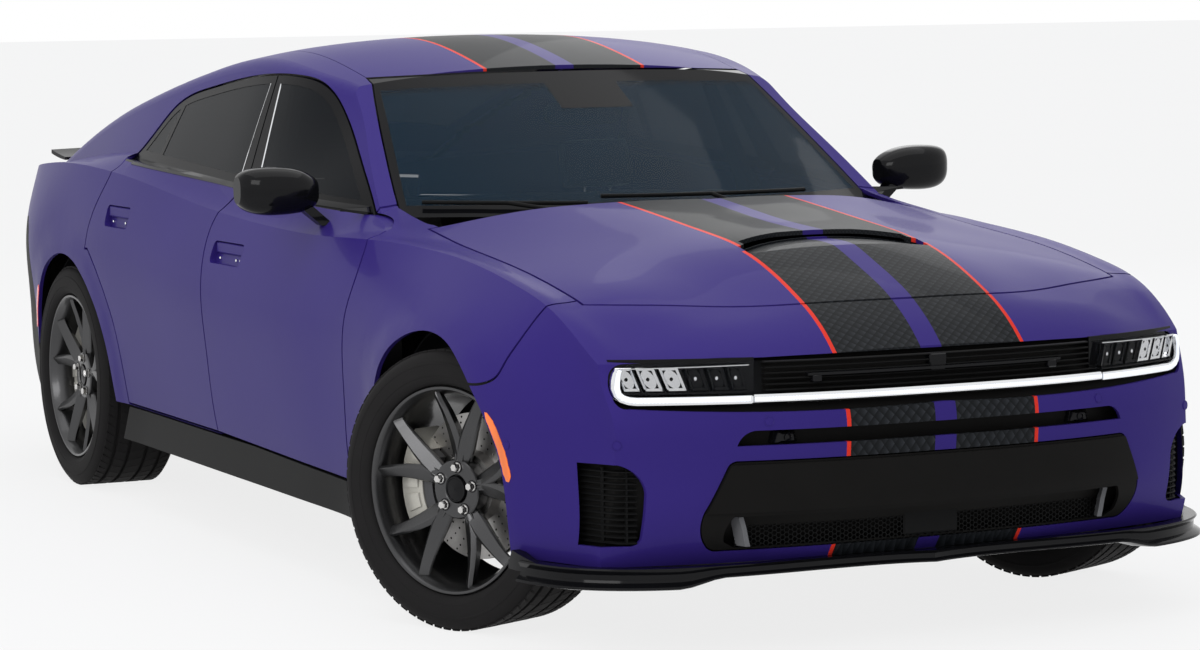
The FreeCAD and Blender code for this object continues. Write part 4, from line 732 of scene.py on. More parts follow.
def caliper_piece(wheel):
    """Cover over the caliper: a bridge with a raised, ribbed face towards the spokes."""
    low, high = caliper_span(wheel)
    sheet = Sheet()
    edge = 0.02
    skin = [(-0.0505, 0.150), (-0.0505, 0.221), (-0.041, 0.2285), (0.043, 0.2285), (0.0525, 0.2215),
            (0.0535, 0.205), (0.0535, 0.150)]
    sheet.turned(skin, 12, wheel.place, low - edge, high - low + 2 * edge)
    middle = (low + high) / 2
    for offset, half, outer in ((0.0, 0.16, 0.2150), (0.36, 0.11, 0.2080), (-0.36, 0.11, 0.2080)):
        boss = [(0.050, 0.160), (0.0575, 0.164), (0.0590, 0.170), (0.0590, outer - 0.006), (0.0575, outer),
                (0.050, outer + 0.003)]
        sheet.turned(boss, 6, wheel.place, middle + offset - half, 2 * half)
    sheet.piece("caliper_cover_" + wheel.label, CALIPER_SILVER, wheel.carrier, "cast_metal")


def disc_piece(wheel):
    """Ventilated brake disc with its hat; angle and radius go into the UV map for the drilled rows."""
    sheet = Sheet().turned(DISC, 96, wheel.place)
    disc = sheet.piece("brake_disc_" + wheel.label, DISC_STEEL, wheel.body, "cast_metal").data
    layer = disc.uv_layers.new(name="UVMap")
    for polygon in disc.polygons:
        turns = [(loop, *wheel.polar(disc.vertices[disc.loops[loop].vertex_index].co))
                 for loop in polygon.loop_indices]
        wide = max(t for _, t, _ in turns) - min(t for _, t, _ in turns) > 0.5
        for loop, turn, radius in turns:
            layer.data[loop].uv = (turn + (1 if wide and turn < 0.5 else 0), radius)


TYRE = [(0.1000, 0.2625), (0.1095, 0.2640), (0.1105, 0.2700), (0.1180, 0.2715), (0.1245, 0.2745),
        (0.1290, 0.2790), (0.1330, 0.2860), (0.1352, 0.2935), (0.1350, 0.2950), (0.1362, 0.2962),
        (0.1368, 0.3060), (0.1366, 0.3170), (0.1360, 0.3250), (0.1368, 0.3258), (0.1362, 0.3300),
        (0.1348, 0.3305), (0.1330, 0.3370), (0.1300, 0.3440), (0.1255, 0.3510), (0.1195, 0.3560),
        (0.1120, 0.3592), (0.1020, 0.3608), (0.0860, 0.3615), (0.0850, 0.3535), (0.0750, 0.3535),
        (0.0740, 0.3618), (0.0360, 0.3620), (0.0350, 0.3535), (0.0250, 0.3535), (0.0240, 0.3620)]
# Rows of tread: from and to across, radius, blocks in a row, and slant.
TREAD_ROWS = ((0.0875, 0.1165, 0.3624, 72, 0.020), (-0.1165, -0.0875, 0.3624, 72, 0.020),
              (0.0375, 0.0725, 0.3628, 60, 0.012), (-0.0725, -0.0375, 0.3628, 60, 0.012),
              (-0.0225, 0.0225, 0.3628, 54, 0.010))


def tread_block(u0, u1, radius, length, slant):
    """One raised block of tread, from u0 to u1 across, leaning by its slant round the tyre."""
    rings = []
    for u, shift in ((u0, 0.0), (u1, slant / radius)):
        ring = []
        for r, share in ((radius - 0.004, 0.5), (radius, 0.44), (radius, -0.44), (radius - 0.004, -0.5)):
            a = length / radius * share + shift
            ring.append((u, r * math.cos(a), r * math.sin(a)))
        rings.append(ring)
    return Sheet().loft(rings)


def tyre_piece(wheel):
    sheet = wheel.moved(turned_sheet(TYRE + [(-u, r) for u, r in reversed(TYRE)], 120))
    for u0, u1, radius, count, slant in TREAD_ROWS:
        length = math.tau * radius / count * 0.86
        lug = tread_block(u0, u1, radius, length, slant if u0 > 0 else -slant)
        sheet.join(wheel.moved(repeated(lug, RING_OF, count, math.tau / count, RUBBER)))
    piece = sheet.piece("tread_tyre_" + wheel.label, RUBBER, wheel.body, "tyre_rubber", crease=0.5)
    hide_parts("tyre_" + wheel.label)


def rim_pieces(wheel):
    rim = wheel.moved(turned_sheet(BARREL, 96))
    rim.join(wheel.moved(turned_sheet(HUB, 60)))
    rim.join(wheel.five(spoke_sheet(), WHEEL_BLACK))
    piece = rim.piece("forked_rim_" + wheel.label, WHEEL_BLACK, wheel.body, "wheel_black", crease=0.35)
    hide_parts("rim_" + wheel.label)
    disc_piece(wheel)
    nuts = wheel.five(nut_sheet(), NUT_STEEL)
    nuts.piece("wheel_nuts_" + wheel.label, NUT_STEEL, wheel.body, "exhaust_steel", crease=0.5)
    trims = wheel.five(well_sheet(), GLOSS_BLACK)
    trims.join(wheel.moved(turned_sheet(CAP, 48)))
    trims.piece("wheel_cap_" + wheel.label, GLOSS_BLACK, wheel.body, "wheel_black")
    caliper_piece(wheel)


for wheel in WHEELS:
    tyre_piece(wheel)
    rim_pieces(wheel)

# Front end.
FASCIA = tree_of("front_fascia")
GRILLE = tree_of("grille")
BAR_HEIGHT = 0.600
SLOT_SET_BACK = 0.022
# The light bar's height, and its outer end: place across, height and scale.
BAR_LINE = 0.6455
BAR_CORNER = ((0.782, 0.6475, 1.0), (0.796, 0.6530, 1.0), (0.8055, 0.6630, 0.95), (0.8085, 0.6780, 0.85),
              (0.8075, 0.6960, 0.75), (0.8050, 0.7120, 0.65), (0.8010, 0.7230, 0.50))
# Sections of the light bar: its bright body and its lens, at the sides and in the middle, and the joint between.
SIDE_BODY = ((-0.0120, 0.012), (-0.0120, 0.002), (-0.0100, -0.003), (0.0095, -0.004), (0.0120, 0.001),
             (0.0120, 0.012))
SIDE_LENS = ((-0.0088, -0.0020), (-0.0075, -0.0065), (0.0030, -0.0070), (0.0050, -0.0030))
MIDDLE_BODY = ((-0.0115, 0.012), (-0.0115, 0.000), (-0.0070, -0.0050), (0.0060, -0.0055), (0.0115, -0.0010),
               (0.0115, 0.012))
MIDDLE_LENS = ((-0.0050, -0.0035), (-0.0035, -0.0070), (0.0045, -0.0072), (0.0062, -0.0040))
BAR_JOINT = ((-0.0085, 0.010), (-0.0085, 0.0), (0.0, -0.002), (0.0085, 0.0), (0.0085, 0.010))


def bar_depth(x):
    """How far forward the painted bar under the slot stands at x; the slot's fittings take their place from it."""
    return from_front(FASCIA, max(-0.83, min(0.83, x)), BAR_HEIGHT, 0.0).y


def in_slot(x, z, back):
    return Vector((x, bar_depth(x) + SLOT_SET_BACK + back, z))


def ribbon(sheet, path, section, spot):
    """Bar along a path of (x, z, scale): section holds (across, back) pairs, across being square to the path."""
    rings = []
    for i, (x, z, scale) in enumerate(path):
        before = path[max(i - 1, 0)]
        after = path[min(i + 1, len(path) - 1)]
        run = Vector((after[0] - before[0], after[1] - before[1])).normalized()
        rings.append([spot(x - run.y * a * scale, z + run.x * a * scale, back) for a, back in section])
    sheet.loft(rings)


def level(xs, z, side=1):
    """Path at one height through the given places across the car."""
    return [(side * x, z, 1.0) for x in xs]


def light_bar_path(start, side):
    """From a place near the middle out to the lamp's corner and up its outer end."""
    return level(between(start, 0.765, 18), BAR_LINE, side) + [(side * x, z, scale) for x, z, scale in BAR_CORNER]


def light_bar():
    chrome, white = Sheet(), Sheet()
    for side in (1, -1):
        ribbon(chrome, light_bar_path(0.5015, side), SIDE_BODY, in_slot)
        ribbon(white, light_bar_path(0.5060, side), SIDE_LENS, in_slot)
    middle = level(between(-0.4960, 0.4960, 40), BAR_LINE)
    ribbon(chrome, middle, MIDDLE_BODY, in_slot)
    ribbon(white, middle, MIDDLE_LENS, in_slot)
    for side in (1, -1):
        ribbon(chrome, level((0.4968, 0.4985, 0.5000, 0.5008), BAR_LINE, side), BAR_JOINT, in_slot)
    chrome.piece("light_bar_body", CHROME, "chassis", "lamp_lens", crease=0.7)
    white.piece("light_bar_lens", WHITE_LENS, "chassis", "lamp_lens", crease=0.7)


# Lamp cells: the foot's middle, the lean to the top, the width, and whether it holds a bowl. Frames are bright
# from a place outwards.
CELLS = ((0.766, 0.024, 0.040, True), (0.718, 0.026, 0.046, True), (0.666, 0.026, 0.050, True),
         (0.614, 0.022, 0.044, False), (0.566, 0.020, 0.042, False), (0.522, 0.018, 0.038, False))
BRIGHT_FROM = 0.65
LAMP_FLOOR, LAMP_ROOF = 0.6640, 0.7330
# Intake mesh: half the width where its depth is read, in how many steps, and where its first cell stands.
MESH_HALF, MESH_STEPS, MESH_START = 0.53, 20, 0.5195
# Half outline of the block in the middle of the slot, and its foot's height.
BLOCK_FOOT = 0.6915
BLOCK = ((0.020, 0.0), (0.0235, 0.016), (0.0245, 0.038), (0.0215, 0.042))


def lamp_cell(side, x0, lean, width, bowl, frame_sheet, dark, lens):
    """One slanted cell: a bright frame round a bowl or a dark well with a small lens."""
    def spot(u, v, back):
        return in_slot(side * (x0 + lean * v + width * (u - 0.5)), LAMP_FLOOR + (LAMP_ROOF - LAMP_FLOOR) * v, back)

    edge = [(0.06, 0.06), (0.94, 0.06), (0.94, 0.90), (0.06, 0.90)]
    lip = [(0.5 + (u - 0.5) * 0.9, 0.48 + (v - 0.48) * 0.95) for u, v in edge]
    inner = [(0.20, 0.17), (0.80, 0.17), (0.80, 0.80), (0.20, 0.80)]
    frame_sheet.loft([[spot(u, v, back) for u, v in outline] for outline, back in (
        (edge, 0.030), (edge, 0.012), (lip, 0.010), (inner, 0.014), (inner, 0.026))], caps=False)
    cup = [(0.33 * share, depth) for share, depth in ((1.0, 0.016), (0.82, 0.024), (0.5, 0.030), (0.16, 0.032))]
    (frame_sheet if bowl else dark).loft(round_rings(cup, 16, lambda u, v, depth: spot(0.5 + u, 0.485 + v, depth)))
    bulb = ((0.0065, 0.030), (0.0065, 0.020), (0.0050, 0.0165), (0.0020, 0.0150))
    (dark if bowl else lens).loft(
        round_rings(bulb, 14, lambda x, z, depth: spot(0.5, 0.485, depth) + Vector((x, 0, z))))


def headlamps():
    chrome, dark, cover = Sheet(), Sheet(), Sheet()
    for side in (1, -1):
        for x0, lean, width, bowl in CELLS:
            lamp_cell(side, x0, lean, width, bowl, chrome if x0 > BRIGHT_FROM else dark, dark, chrome)
        wing = [(side * x, 0.7290 - 0.0050 * i / 12, 1.0) for i, x in enumerate(between(0.505, 0.790, 12))]
        pane = [(side * x, 0.6985, 1.0 if x < 0.79 else 0.86) for x in between(0.478, 0.800, 20)]
        for sheet, path, section in (
                (chrome, wing, [(-0.0012, 0.020), (-0.0012, 0.004), (0.0012, 0.004), (0.0012, 0.020)]),
                (dark, level(between(0.505, 0.795, 12), LAMP_FLOOR, side),
                 [(-0.0020, 0.034), (-0.0020, 0.004), (0.0020, 0.003), (0.0020, 0.034)]),
                (dark, level(between(0.480, 0.812, 16), 0.700, side),
                 [(-0.044, 0.040), (-0.044, 0.034), (0.044, 0.034), (0.044, 0.040)]),
                (cover, pane, [(-0.0400, 0.002), (-0.0400, 0.000), (-0.0200, -0.002), (0.0200, -0.002),
                               (0.0400, 0.001), (0.0400, 0.003)])):
            ribbon(sheet, path, section, in_slot)
    head = chrome.piece("lamp_reflectors", CHROME, "chassis", "lamp_lens", crease=0.5)
    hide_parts("headlamps")
    dark.piece("lamp_wells", GLOSS_BLACK, "chassis", "black_plastic", crease=0.5)
    cover.piece("lamp_covers", CLEAR, "chassis", "lamp_lens", crease=0.7)


def slot_fittings():
    """Thin ribs across the slot and the plain block in the middle."""
    rib = Sheet()
    ribbon(rib, level(between(-0.462, 0.462, 36), 0.6655),
           [(-0.0020, 0.026), (-0.0020, 0.010), (0.0, 0.008), (0.0020, 0.010), (0.0020, 0.026)], in_slot)
    ribs = repeated(rib, ROW_OF, 6, (0, 0.0012, 0.0135), SATIN_BLACK)
    ribs.piece("slot_ribs", SATIN_BLACK, "chassis", "black_plastic")
    extra = Sheet()
    ribbon(extra, level(between(-0.360, 0.360, 30), 0.7020),
           [(-0.0030, 0.014), (-0.0045, 0.002), (0.0020, 0.000), (0.0030, 0.014)], in_slot)
    clip_depth = bar_depth(0.335)
    for side in (1, -1):
        extra.box((side * 0.335 - 0.013, clip_depth + 0.022, 0.680), (side * 0.335 + 0.013, clip_depth + 0.045, 0.700),
                  bevel=0.003)
    front = bar_depth(0) + SLOT_SET_BACK
    rings = []
    for shrink, y in ((0.0, front + 0.034), (0.0, front + 0.014), (0.0025, front + 0.011)):
        half = [(w - shrink, BLOCK_FOOT + (z + (shrink if z < 0.02 else -shrink))) for w, z in BLOCK]
        rings.append([Vector((w, y, z)) for w, z in half] + [Vector((-w, y, z)) for w, z in reversed(half)])
    extra.loft(rings)
    extra.piece("slot_lip_and_block", GLOSS_BLACK, "chassis", "black_plastic", crease=0.5)


def sensor_pods():
    """Pods with a round lens in the upper opening."""
    pods = Sheet()
    for side in (1, -1):
        x0 = side * 0.418
        y0 = bar_depth(x0) + 0.010
        pods.loft([[(x0 - wide, y0 + back, low), (x0 + wide, y0 + back, low), (x0 + wide * 0.8, y0 + back, high),
                    (x0 - wide * 0.8, y0 + back, high)] for back, wide, low, high in (
            (0.055, 0.040, 0.536, 0.570), (0.022, 0.036, 0.537, 0.566), (0.006, 0.024, 0.540, 0.562),
            (0.002, 0.018, 0.543, 0.559))])
        lens = ((0.0095, 0.010), (0.0095, -0.001), (0.0075, -0.002), (0.0060, 0.001), (0.0010, -0.001))
        pods.loft(round_rings(lens, 20, lambda x, z, back: (x0 + x, y0 + back, 0.551 + z)))
    pods.piece("bumper_sensor_pods", GLOSS_BLACK, "chassis", "black_plastic", crease=0.6)


def bumper_fittings():
    """Mesh, radar cover and deflectors in the lower opening."""
    back = [(x, from_front(GRILLE, x, 0.320, 0.0).y) for x in between(-MESH_HALF, MESH_HALF, MESH_STEPS)]

    def mesh_depth(x):
        i = min(max(int((x + MESH_HALF) / (2 * MESH_HALF) * MESH_STEPS), 0), MESH_STEPS - 1)
        (a, low), (b, high) = back[i], back[i + 1]
        return low + (high - low) * ((x - a) / (b - a))

    cell = Sheet()
    for shift_x, shift_z in ((0.0, 0.0), (0.0105, 0.00606)):
        rings = round_rings(((0.0070, 0.0), (0.0070, -0.003), (0.0059, -0.003), (0.0059, 0.0)), 6,
                            lambda x, z, y: (shift_x + x, y, shift_z + z))
        cell.loft([*rings, rings[0]], caps=False)
    column = repeated(cell, ROW_OF, 7, (0, 0, 0.01212), SATIN_BLACK)
    field = repeated(column, ROW_OF, 50, (0.021, 0, 0), SATIN_BLACK)
    net = field.mapped(lambda p: (p.x - MESH_START, mesh_depth(p.x - MESH_START) + p.y - 0.006, 0.2800 + p.z))
    net.piece("intake_mesh", SATIN_BLACK, "chassis", "black_plastic", smooth=False)
    y0 = mesh_depth(0.0)
    radar = Sheet().box((-0.078, y0 - 0.012, 0.282), (0.078, y0 - 0.003, 0.362), bevel=0.004)
    radar.piece("radar_cover", SATIN_BLACK, "chassis", "black_plastic", crease=0.5)
    blades = Sheet()
    for side in (1, -1):
        y1 = mesh_depth(side * 0.50)
        rings = []
        for z, shift in ((0.284, 0.0), (0.300, 0.004), (0.330, 0.010), (0.357, 0.018)):
            x0 = side * (0.505 + shift)
            x1 = x0 + side * 0.010
            rings.append([(x0 - 0.006, y1 - 0.034, z), (x0 + 0.006, y1 - 0.036, z), (x1 + 0.006, y1 - 0.002, z),
                          (x1 - 0.006, y1 - 0.002, z)])
        blades.loft(rings)
    blades.piece("intake_deflectors", GREY_PLASTIC, "chassis", "black_plastic", crease=0.5)


# Section of the band under the nose: how far out, how high between its lower edge and its top.
BAND_SECTION = ((-0.030, 1.0), (0.003, 1.0), (0.005, 0.93), (-0.003, 0.62), (0.001, 0.34), (0.011, 0.16), (0.012, 0.04),
                (0.007, 0.0), (-0.030, 0.0))
BAND_END = math.radians(65.0)
BAND_TOP, BAND_LOW, BAND_DEEP = 0.2420, 0.2130, 0.0230
# Where its lower edge starts to drop, and over what width.
BAND_TURN, BAND_RUN = 0.56, 0.12


def splitter_band():
    """Gloss black hollowed band round the splitter, deeper towards its ends, where its lower edge kicks out."""
    tree = tree_of("front_splitter")
    centre = Vector((0, -1.75, 0.225))
    rings = []
    for angle in between(-BAND_END, BAND_END, 90):
        out = Vector((math.sin(angle), -math.cos(angle), 0))
        edge = on_skin(tree, centre + out * 3, -out)
        share = min(1.0, max(0.0, (abs(edge.x) - BAND_TURN) / BAND_RUN))
        share = share * share * (3 - 2 * share)
        low = BAND_LOW - BAND_DEEP * share
        kick = 1 + 0.6 * share
        rings.append([Vector((edge.x, edge.y, 0)) + out * (push * kick if push > 0 else push)
                      + Vector((0, 0, low + (BAND_TOP - low) * high)) for push, high in BAND_SECTION])
    Sheet().loft(rings).piece("splitter_band", GLOSS_BLACK, "chassis", "black_plastic", crease=0.5)


def vent_slats():
    """Fine slats and two posts in the upright openings at the corners."""
    slats = Sheet()
    for side in (1, -1):
        hits = [(side * x, from_front(GRILLE, side * x, 0.400, 0.0).y) for x in between(0.764, 0.868, 5)]
        slat = Sheet().loft([[(x, y - 0.003, 0.3000), (x, y - 0.016, 0.2985), (x, y - 0.017, 0.3010),
                              (x, y - 0.003, 0.3045)] for x, y in hits])
        slats.join(repeated(slat, ROW_OF, 13, (0, 0, 0.0145), SATIN_BLACK))
        for x, y in (hits[1], hits[3]):
            slats.box((x - 0.0020, y - 0.014, 0.298), (x + 0.0020, y - 0.002, 0.484))
    slats.piece("corner_vent_slats", SATIN_BLACK, "chassis", "black_plastic", crease=0.4)


def park_sensors():
    discs = Sheet()
    profile = ((0.0125, -0.002), (0.0125, 0.0008), (0.0118, 0.0014), (0.0104, 0.0006), (0.0098, 0.0012),
               (0.002, 0.0014))
    for side in (1, -1):
        for start, direction in (((side * 0.818, -4, 0.542), (0, 1, 0)), ((side * 3, -2.143, 0.520), (-side, 0, 0)),
                                 ((side * 0.47, -4, 0.5935), (0, 1, 0))):
            middle, normal, _, _ = FASCIA.ray_cast(Vector(start), Vector(direction))
            turn = normal.to_track_quat("Z", "X")
            discs.loft(round_rings(profile, 24, lambda x, y, h: middle + turn @ Vector((x, y, h))))
    discs.piece("park_sensors", PAINT, "chassis", "body_paint", crease=0.5)


light_bar()
headlamps()
slot_fittings()
sensor_pods()
bumper_fittings()
vent_slats()
park_sensors()
splitter_band()

# Sides.
PILLAR_FRONT = ((-0.1675, 1.072), (-0.0420, 1.353))
PILLAR_REAR = ((-0.0270, 1.068), (0.0290, 1.353))
# The handles' pockets, from and to along the car and in height.
HANDLES = (("front", (-0.286, -0.047, 0.832, 0.897)), ("rear", (0.712, 0.926, 0.884, 0.952)))
HANDLE_INSET = 0.0035
# The strips under the side windows, from and to, along the car and in height.
BELT = (("front", (-0.868, 1.0235), (-0.160, 1.0490)), ("rear", (-0.018, 1.0540), (0.900, 1.0860)))


def side_spot(tree, side):
    return lambda y, z, lift: from_side(tree, side, y, z, lift)


def side_strip(sheet, tree, side, start, end, half, low, high, steps=24, bulge=0.0):
    """Strip on the side between two (y, z) places."""
    run = Vector((end[0] - start[0], end[1] - start[1])).normalized()
    path = [(y, z, half) for y, z in zip(between(start[0], end[0], steps), between(start[1], end[1], steps))]
    strip(sheet, path, (-run.y, run.x), side_spot(tree, side), low, high, bulge)


def door_skin(end, side_name):
    """A door with its glass."""
    return tree_of(f"door_{end}_{side_name}", f"door_glass_{end}_{side_name}")


def door_handles(side_name, side):
    """Flush flap over the upper half of each pocket, and three bright studs."""
    for end, (y0, y1, z0, z1) in HANDLES:
        door = f"door_{end}_{side_name}"
        skin = tree_of(door)
        middle = z0 + (z1 - z0) * 0.46
        rim = [from_side(skin, side, y, z1 + 0.004, 0.0).x for y in (y0, y1)]
        section = ((middle, -0.012), (middle, -0.0015), (middle + 0.004, 0.0008),
                   (z1 - HANDLE_INSET - 0.003, -0.0002), (z1 - HANDLE_INSET, -0.003), (z1 - HANDLE_INSET, -0.012))

        def flap_spot(y, z, lift):
            t = (y - y0) / (y1 - y0)
            return Vector((rim[0] + (rim[1] - rim[0]) * t + side * (lift + (z1 - z) * 0.06), y, z))

        flap = Sheet().loft([[flap_spot(y, z, lift) for z, lift in section]
                             for y in between(y0 + HANDLE_INSET + 0.008, y1 - HANDLE_INSET - 0.008, 14)])
        flap.piece("handle_flap_" + door[5:], PAINT, door, "body_paint", crease=0.5)
        studs = Sheet()
        for share in (0.16, 0.30, 0.84):
            base = from_side(skin, side, y0 + (y1 - y0) * share, z0 + (z1 - z0) * 0.22, 0.0)
            studs.loft(round_rings(((0.0050, -0.001), (0.0050, 0.0025), (0.0036, 0.0042), (0.0008, 0.0048)), 16,
                                   lambda y, z, h: base + Vector((side * h, y, z))))
        studs.piece("handle_studs_" + door[5:], CHROME, door, "exhaust_steel", crease=0.6)


def pillar_lines(side_name, side):
    """Two thin bright lines beside the middle pillar, one on each door's frame."""
    for end, (start, stop) in (("front", PILLAR_FRONT), ("rear", PILLAR_REAR)):
        door = f"door_{end}_{side_name}"
        sheet = Sheet()
        side_strip(sheet, door_skin(end, side_name), side, start, stop, 0.0022, -0.0005, 0.0012)
        sheet.piece(f"pillar_line_{end}_{side_name}", CHROME, door, "exhaust_steel", crease=0.8)


# Where each marker looks for its wheel arch's edge, its heights, and its side of the arch.
MARKERS = (("front_marker_", ("front_fascia", "front_fenders"), -1.95, -1, 0.596, 0.430),
           ("rear_marker_", ("body_sides", "rear_fascia"), 1.55, 1, 0.642, 0.492))
MARKER_HALF = 0.0125
MARKER_EDGE = 0.004


def arch_edge(tree, side, z, start, way):
    """Place along the car where the body starts beside a wheel arch's opening."""
    y = start
    while True:
        hit = tree.ray_cast(Vector((side * 3, y, z)), Vector((-side, 0, 0)))[0]
        if hit is not None and hit.x * side > 0.8:
            return y
        y += way * 0.002


def markers(side_name, side):
    """Amber marker ahead of the front wheel and red one behind the rear wheel, along the arch's edge."""
    for name, nodes, start, way, top, foot in MARKERS:
        tree = tree_of(*nodes)
        path = []
        for i, z in enumerate(between(top, foot, 20)):
            half = MARKER_HALF * min(1.0, 0.35 + i / 3, 0.35 + (20 - i) / 3)
            y = arch_edge(tree, side, z, start, way) + way * (MARKER_EDGE + MARKER_HALF)
            path.append((y, z, half))
        sheet = Sheet()
        strip(sheet, path, (1.0, 0.12), side_spot(tree, side), -0.001, 0.0016, 0.0012)
        front = way < 0
        sheet.piece(name + side_name, AMBER if front else RED_GLOW, "chassis", "lamp_lens" if front else "tail_lens",
                    crease=0.6)


def belt_trim(side_name, side):
    """Gloss black strip under the side windows, one length on each door."""
    for end, start, stop in BELT:
        sheet = Sheet()
        side_strip(sheet, door_skin(end, side_name), side, start, stop, 0.0075, -0.0005, 0.0020, steps=30,
                   bulge=0.0008)
        sheet.piece(f"belt_trim_{end}_{side_name}", GLOSS_BLACK, f"door_{end}_{side_name}", "black_plastic",
                    crease=0.6)


def mirror_fittings(side_name, side):
    """Mirror glass on the rear face."""
    node = "mirror_" + side_name
    low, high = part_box(node)
    tree = tree_of(node)
    middle = Vector(((low[0] + high[0]) / 2 + side * 0.016, 0, (low[2] + high[2]) / 2 + 0.012))
    profile = ((1.0, -0.001), (1.0, 0.0015), (0.94, 0.0022), (0.5, 0.0022), (0.02, 0.0022))
    rings = oval_rings(profile, 32, (0.6, 0.6), (0.088, 0.043),
                       lambda x, z, lift: Vector((middle.x + x, lift, middle.z + z)))
    far = max(on_skin(tree, (p.x, 1, p.z), (0, -1, 0)).y for ring in rings for p in ring)
    sheet = Sheet().loft([[p + Vector((0, far, 0)) for p in ring] for ring in rings])
    sheet.piece("mirror_glass_" + side_name, MIRROR, "door_front_" + side_name, "tinted_glass", crease=0.5)


# Plan of the hood's rear edge and of the cowl's front edge, from the middle outwards.
HOOD_REAR = ((0.0, -1.362), (0.264, -1.310), (0.500, -1.262), (0.700, -1.200), (0.750, -1.185))
COWL_FRONT = ((0.0, -1.345), (0.738, -1.130), (0.750, -1.130))
APRON_TOP, APRON_DEEP = 0.951, 0.004
# Section of the channels beside the tailgate, and how far they lie under the skin.
GUTTER = ((-0.016, 0.004), (-0.012, 0.004), (-0.009, 0.000), (0.009, 0.000), (0.012, 0.004), (0.016, 0.004),
          (0.014, -0.004), (-0.014, -0.004))
GUTTER_DROP = 0.030


def read_line(points, x):
    for (x0, y0), (x1, y1) in zip(points, points[1:]):
        if x <= x1:
            return y0 + (y1 - y0) * (x - x0) / (x1 - x0)
    return points[-1][1]


def cowl_apron():
    """Black apron that closes the space between the cowl and the hood's rear edge."""
    rings = []
    for x in between(-0.778, 0.778, 48):
        front, back = read_line(HOOD_REAR, abs(x)) - 0.050, read_line(COWL_FRONT, abs(x)) + 0.015
        middle = (front + back) / 2
        rings.append([Vector((x, y, APRON_TOP - drop)) for y, drop in (
            (front, APRON_DEEP), (front, 0.001), (middle, 0.006), (back, 0.0), (back, APRON_DEEP), (middle, 0.010))])
    Sheet().loft(rings).piece("cowl_apron", SATIN_BLACK, "chassis", "black_plastic", crease=0.6)


def gap_middle(tree, y, side):
    """Place across the car of the shut gap beside the tailgate, and the skin's height beside it."""
    open_places, height = [], 0.0
    for x in between(0.500, 0.720, 110):
        hit = tree.ray_cast(Vector((side * x, y, 3)), Vector((0, 0, -1)))[0]
        if hit is None or hit.z < 0.86:
            open_places.append(x)
        elif not open_places:
            height = hit.z
    return (sum(open_places) / len(open_places), height) if open_places else None


def tailgate_gutters():
    """Black channels under the gaps beside the tailgate."""
    tree = tree_of("tailgate", "tailgate_glass", "body_sides", "roof_panel")
    sheet = Sheet()
    for side in (1, -1):
        found = [(y, gap_middle(tree, y, side)) for y in between(0.930, 2.240, 42)]
        sheet.loft([[Vector((side * (spot[0] + u), y, spot[1] - GUTTER_DROP + h)) for u, h in GUTTER]
                    for y, spot in found if spot])
    sheet.piece("tailgate_gutters", SATIN_BLACK, "chassis", "black_plastic", crease=0.6)


for side_name, side in SIDES:
    door_handles(side_name, side)
    pillar_lines(side_name, side)
    markers(side_name, side)
    belt_trim(side_name, side)
    mirror_fittings(side_name, side)
cowl_apron()
tailgate_gutters()

# Cabin.
# How square a pad's corners are, and the radius of its piping.
PAD_CORNER, PIPING = 0.42, 0.0035


def pad_ring(u, size, thick, crown, channels):
    """One ring of a pad at u from -1 to 1 across it: a rounded section, crowned and sewn."""
    width, depth = size
    shrink = (1 - abs(u) ** 7) ** (1 / 7) if abs(u) < 1 else 0.0
    ring = []
    for v, w in oval(44, PAD_CORNER, 0.55):
        pinch = 1 - 0.035 * (1 - v * v) * (abs(u) > 0.9)
        y = v * depth / 2 * (0.94 + 0.06 * shrink) * pinch
        top = w * thick / 2 * (0.35 + 0.65 * shrink)
        if w > 0:
            top += crown * (1 - u * u) * max(0.0, 1 - v * v) * w
            for place, deep, across in channels:
                top -= deep * math.exp(-(((u if across else v) - place) / 0.035) ** 2) * w
        ring.append((u * width / 2, y, top))
    return ring


def pad(name, middle, size, thick, crown, channels, turn, node=None):
    """Crowned leather pad with sewn channels and a piped edge; it stands for a node if one is named."""
    us = [math.sin(math.pi / 2 * t) for t in between(-1.0, 1.0, 44)]
    us[0], us[-1] = -0.999, 0.999
    sheet = Sheet().loft([[middle + turn @ Vector(p) for p in pad_ring(u, size, thick, crown, channels)] for u in us])
    rope = []
    for (c, s), (u, v) in zip(circle(64), oval(64, PAD_CORNER, PAD_CORNER)):
        centre = Vector((u * size[0] / 2 * 0.985, v * size[1] / 2 * 0.985, thick * 0.18))
        out = Vector((c, s, 0)).normalized()
        rope.append([middle + turn @ (centre + out * PIPING * across + Vector((0, 0, PIPING * up)))
                     for across, up in circle(6)])
    sheet.loft([*rope, rope[0]], caps=False)
    piece = sheet.piece(name, LEATHER, "chassis", "seat_leather", crease=1.4)
    if node:
        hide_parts(node)


def sewn(deep, across, *places):
    """Channels of one depth, across the pad or along it."""
    return [(place, deep, across) for place in places]


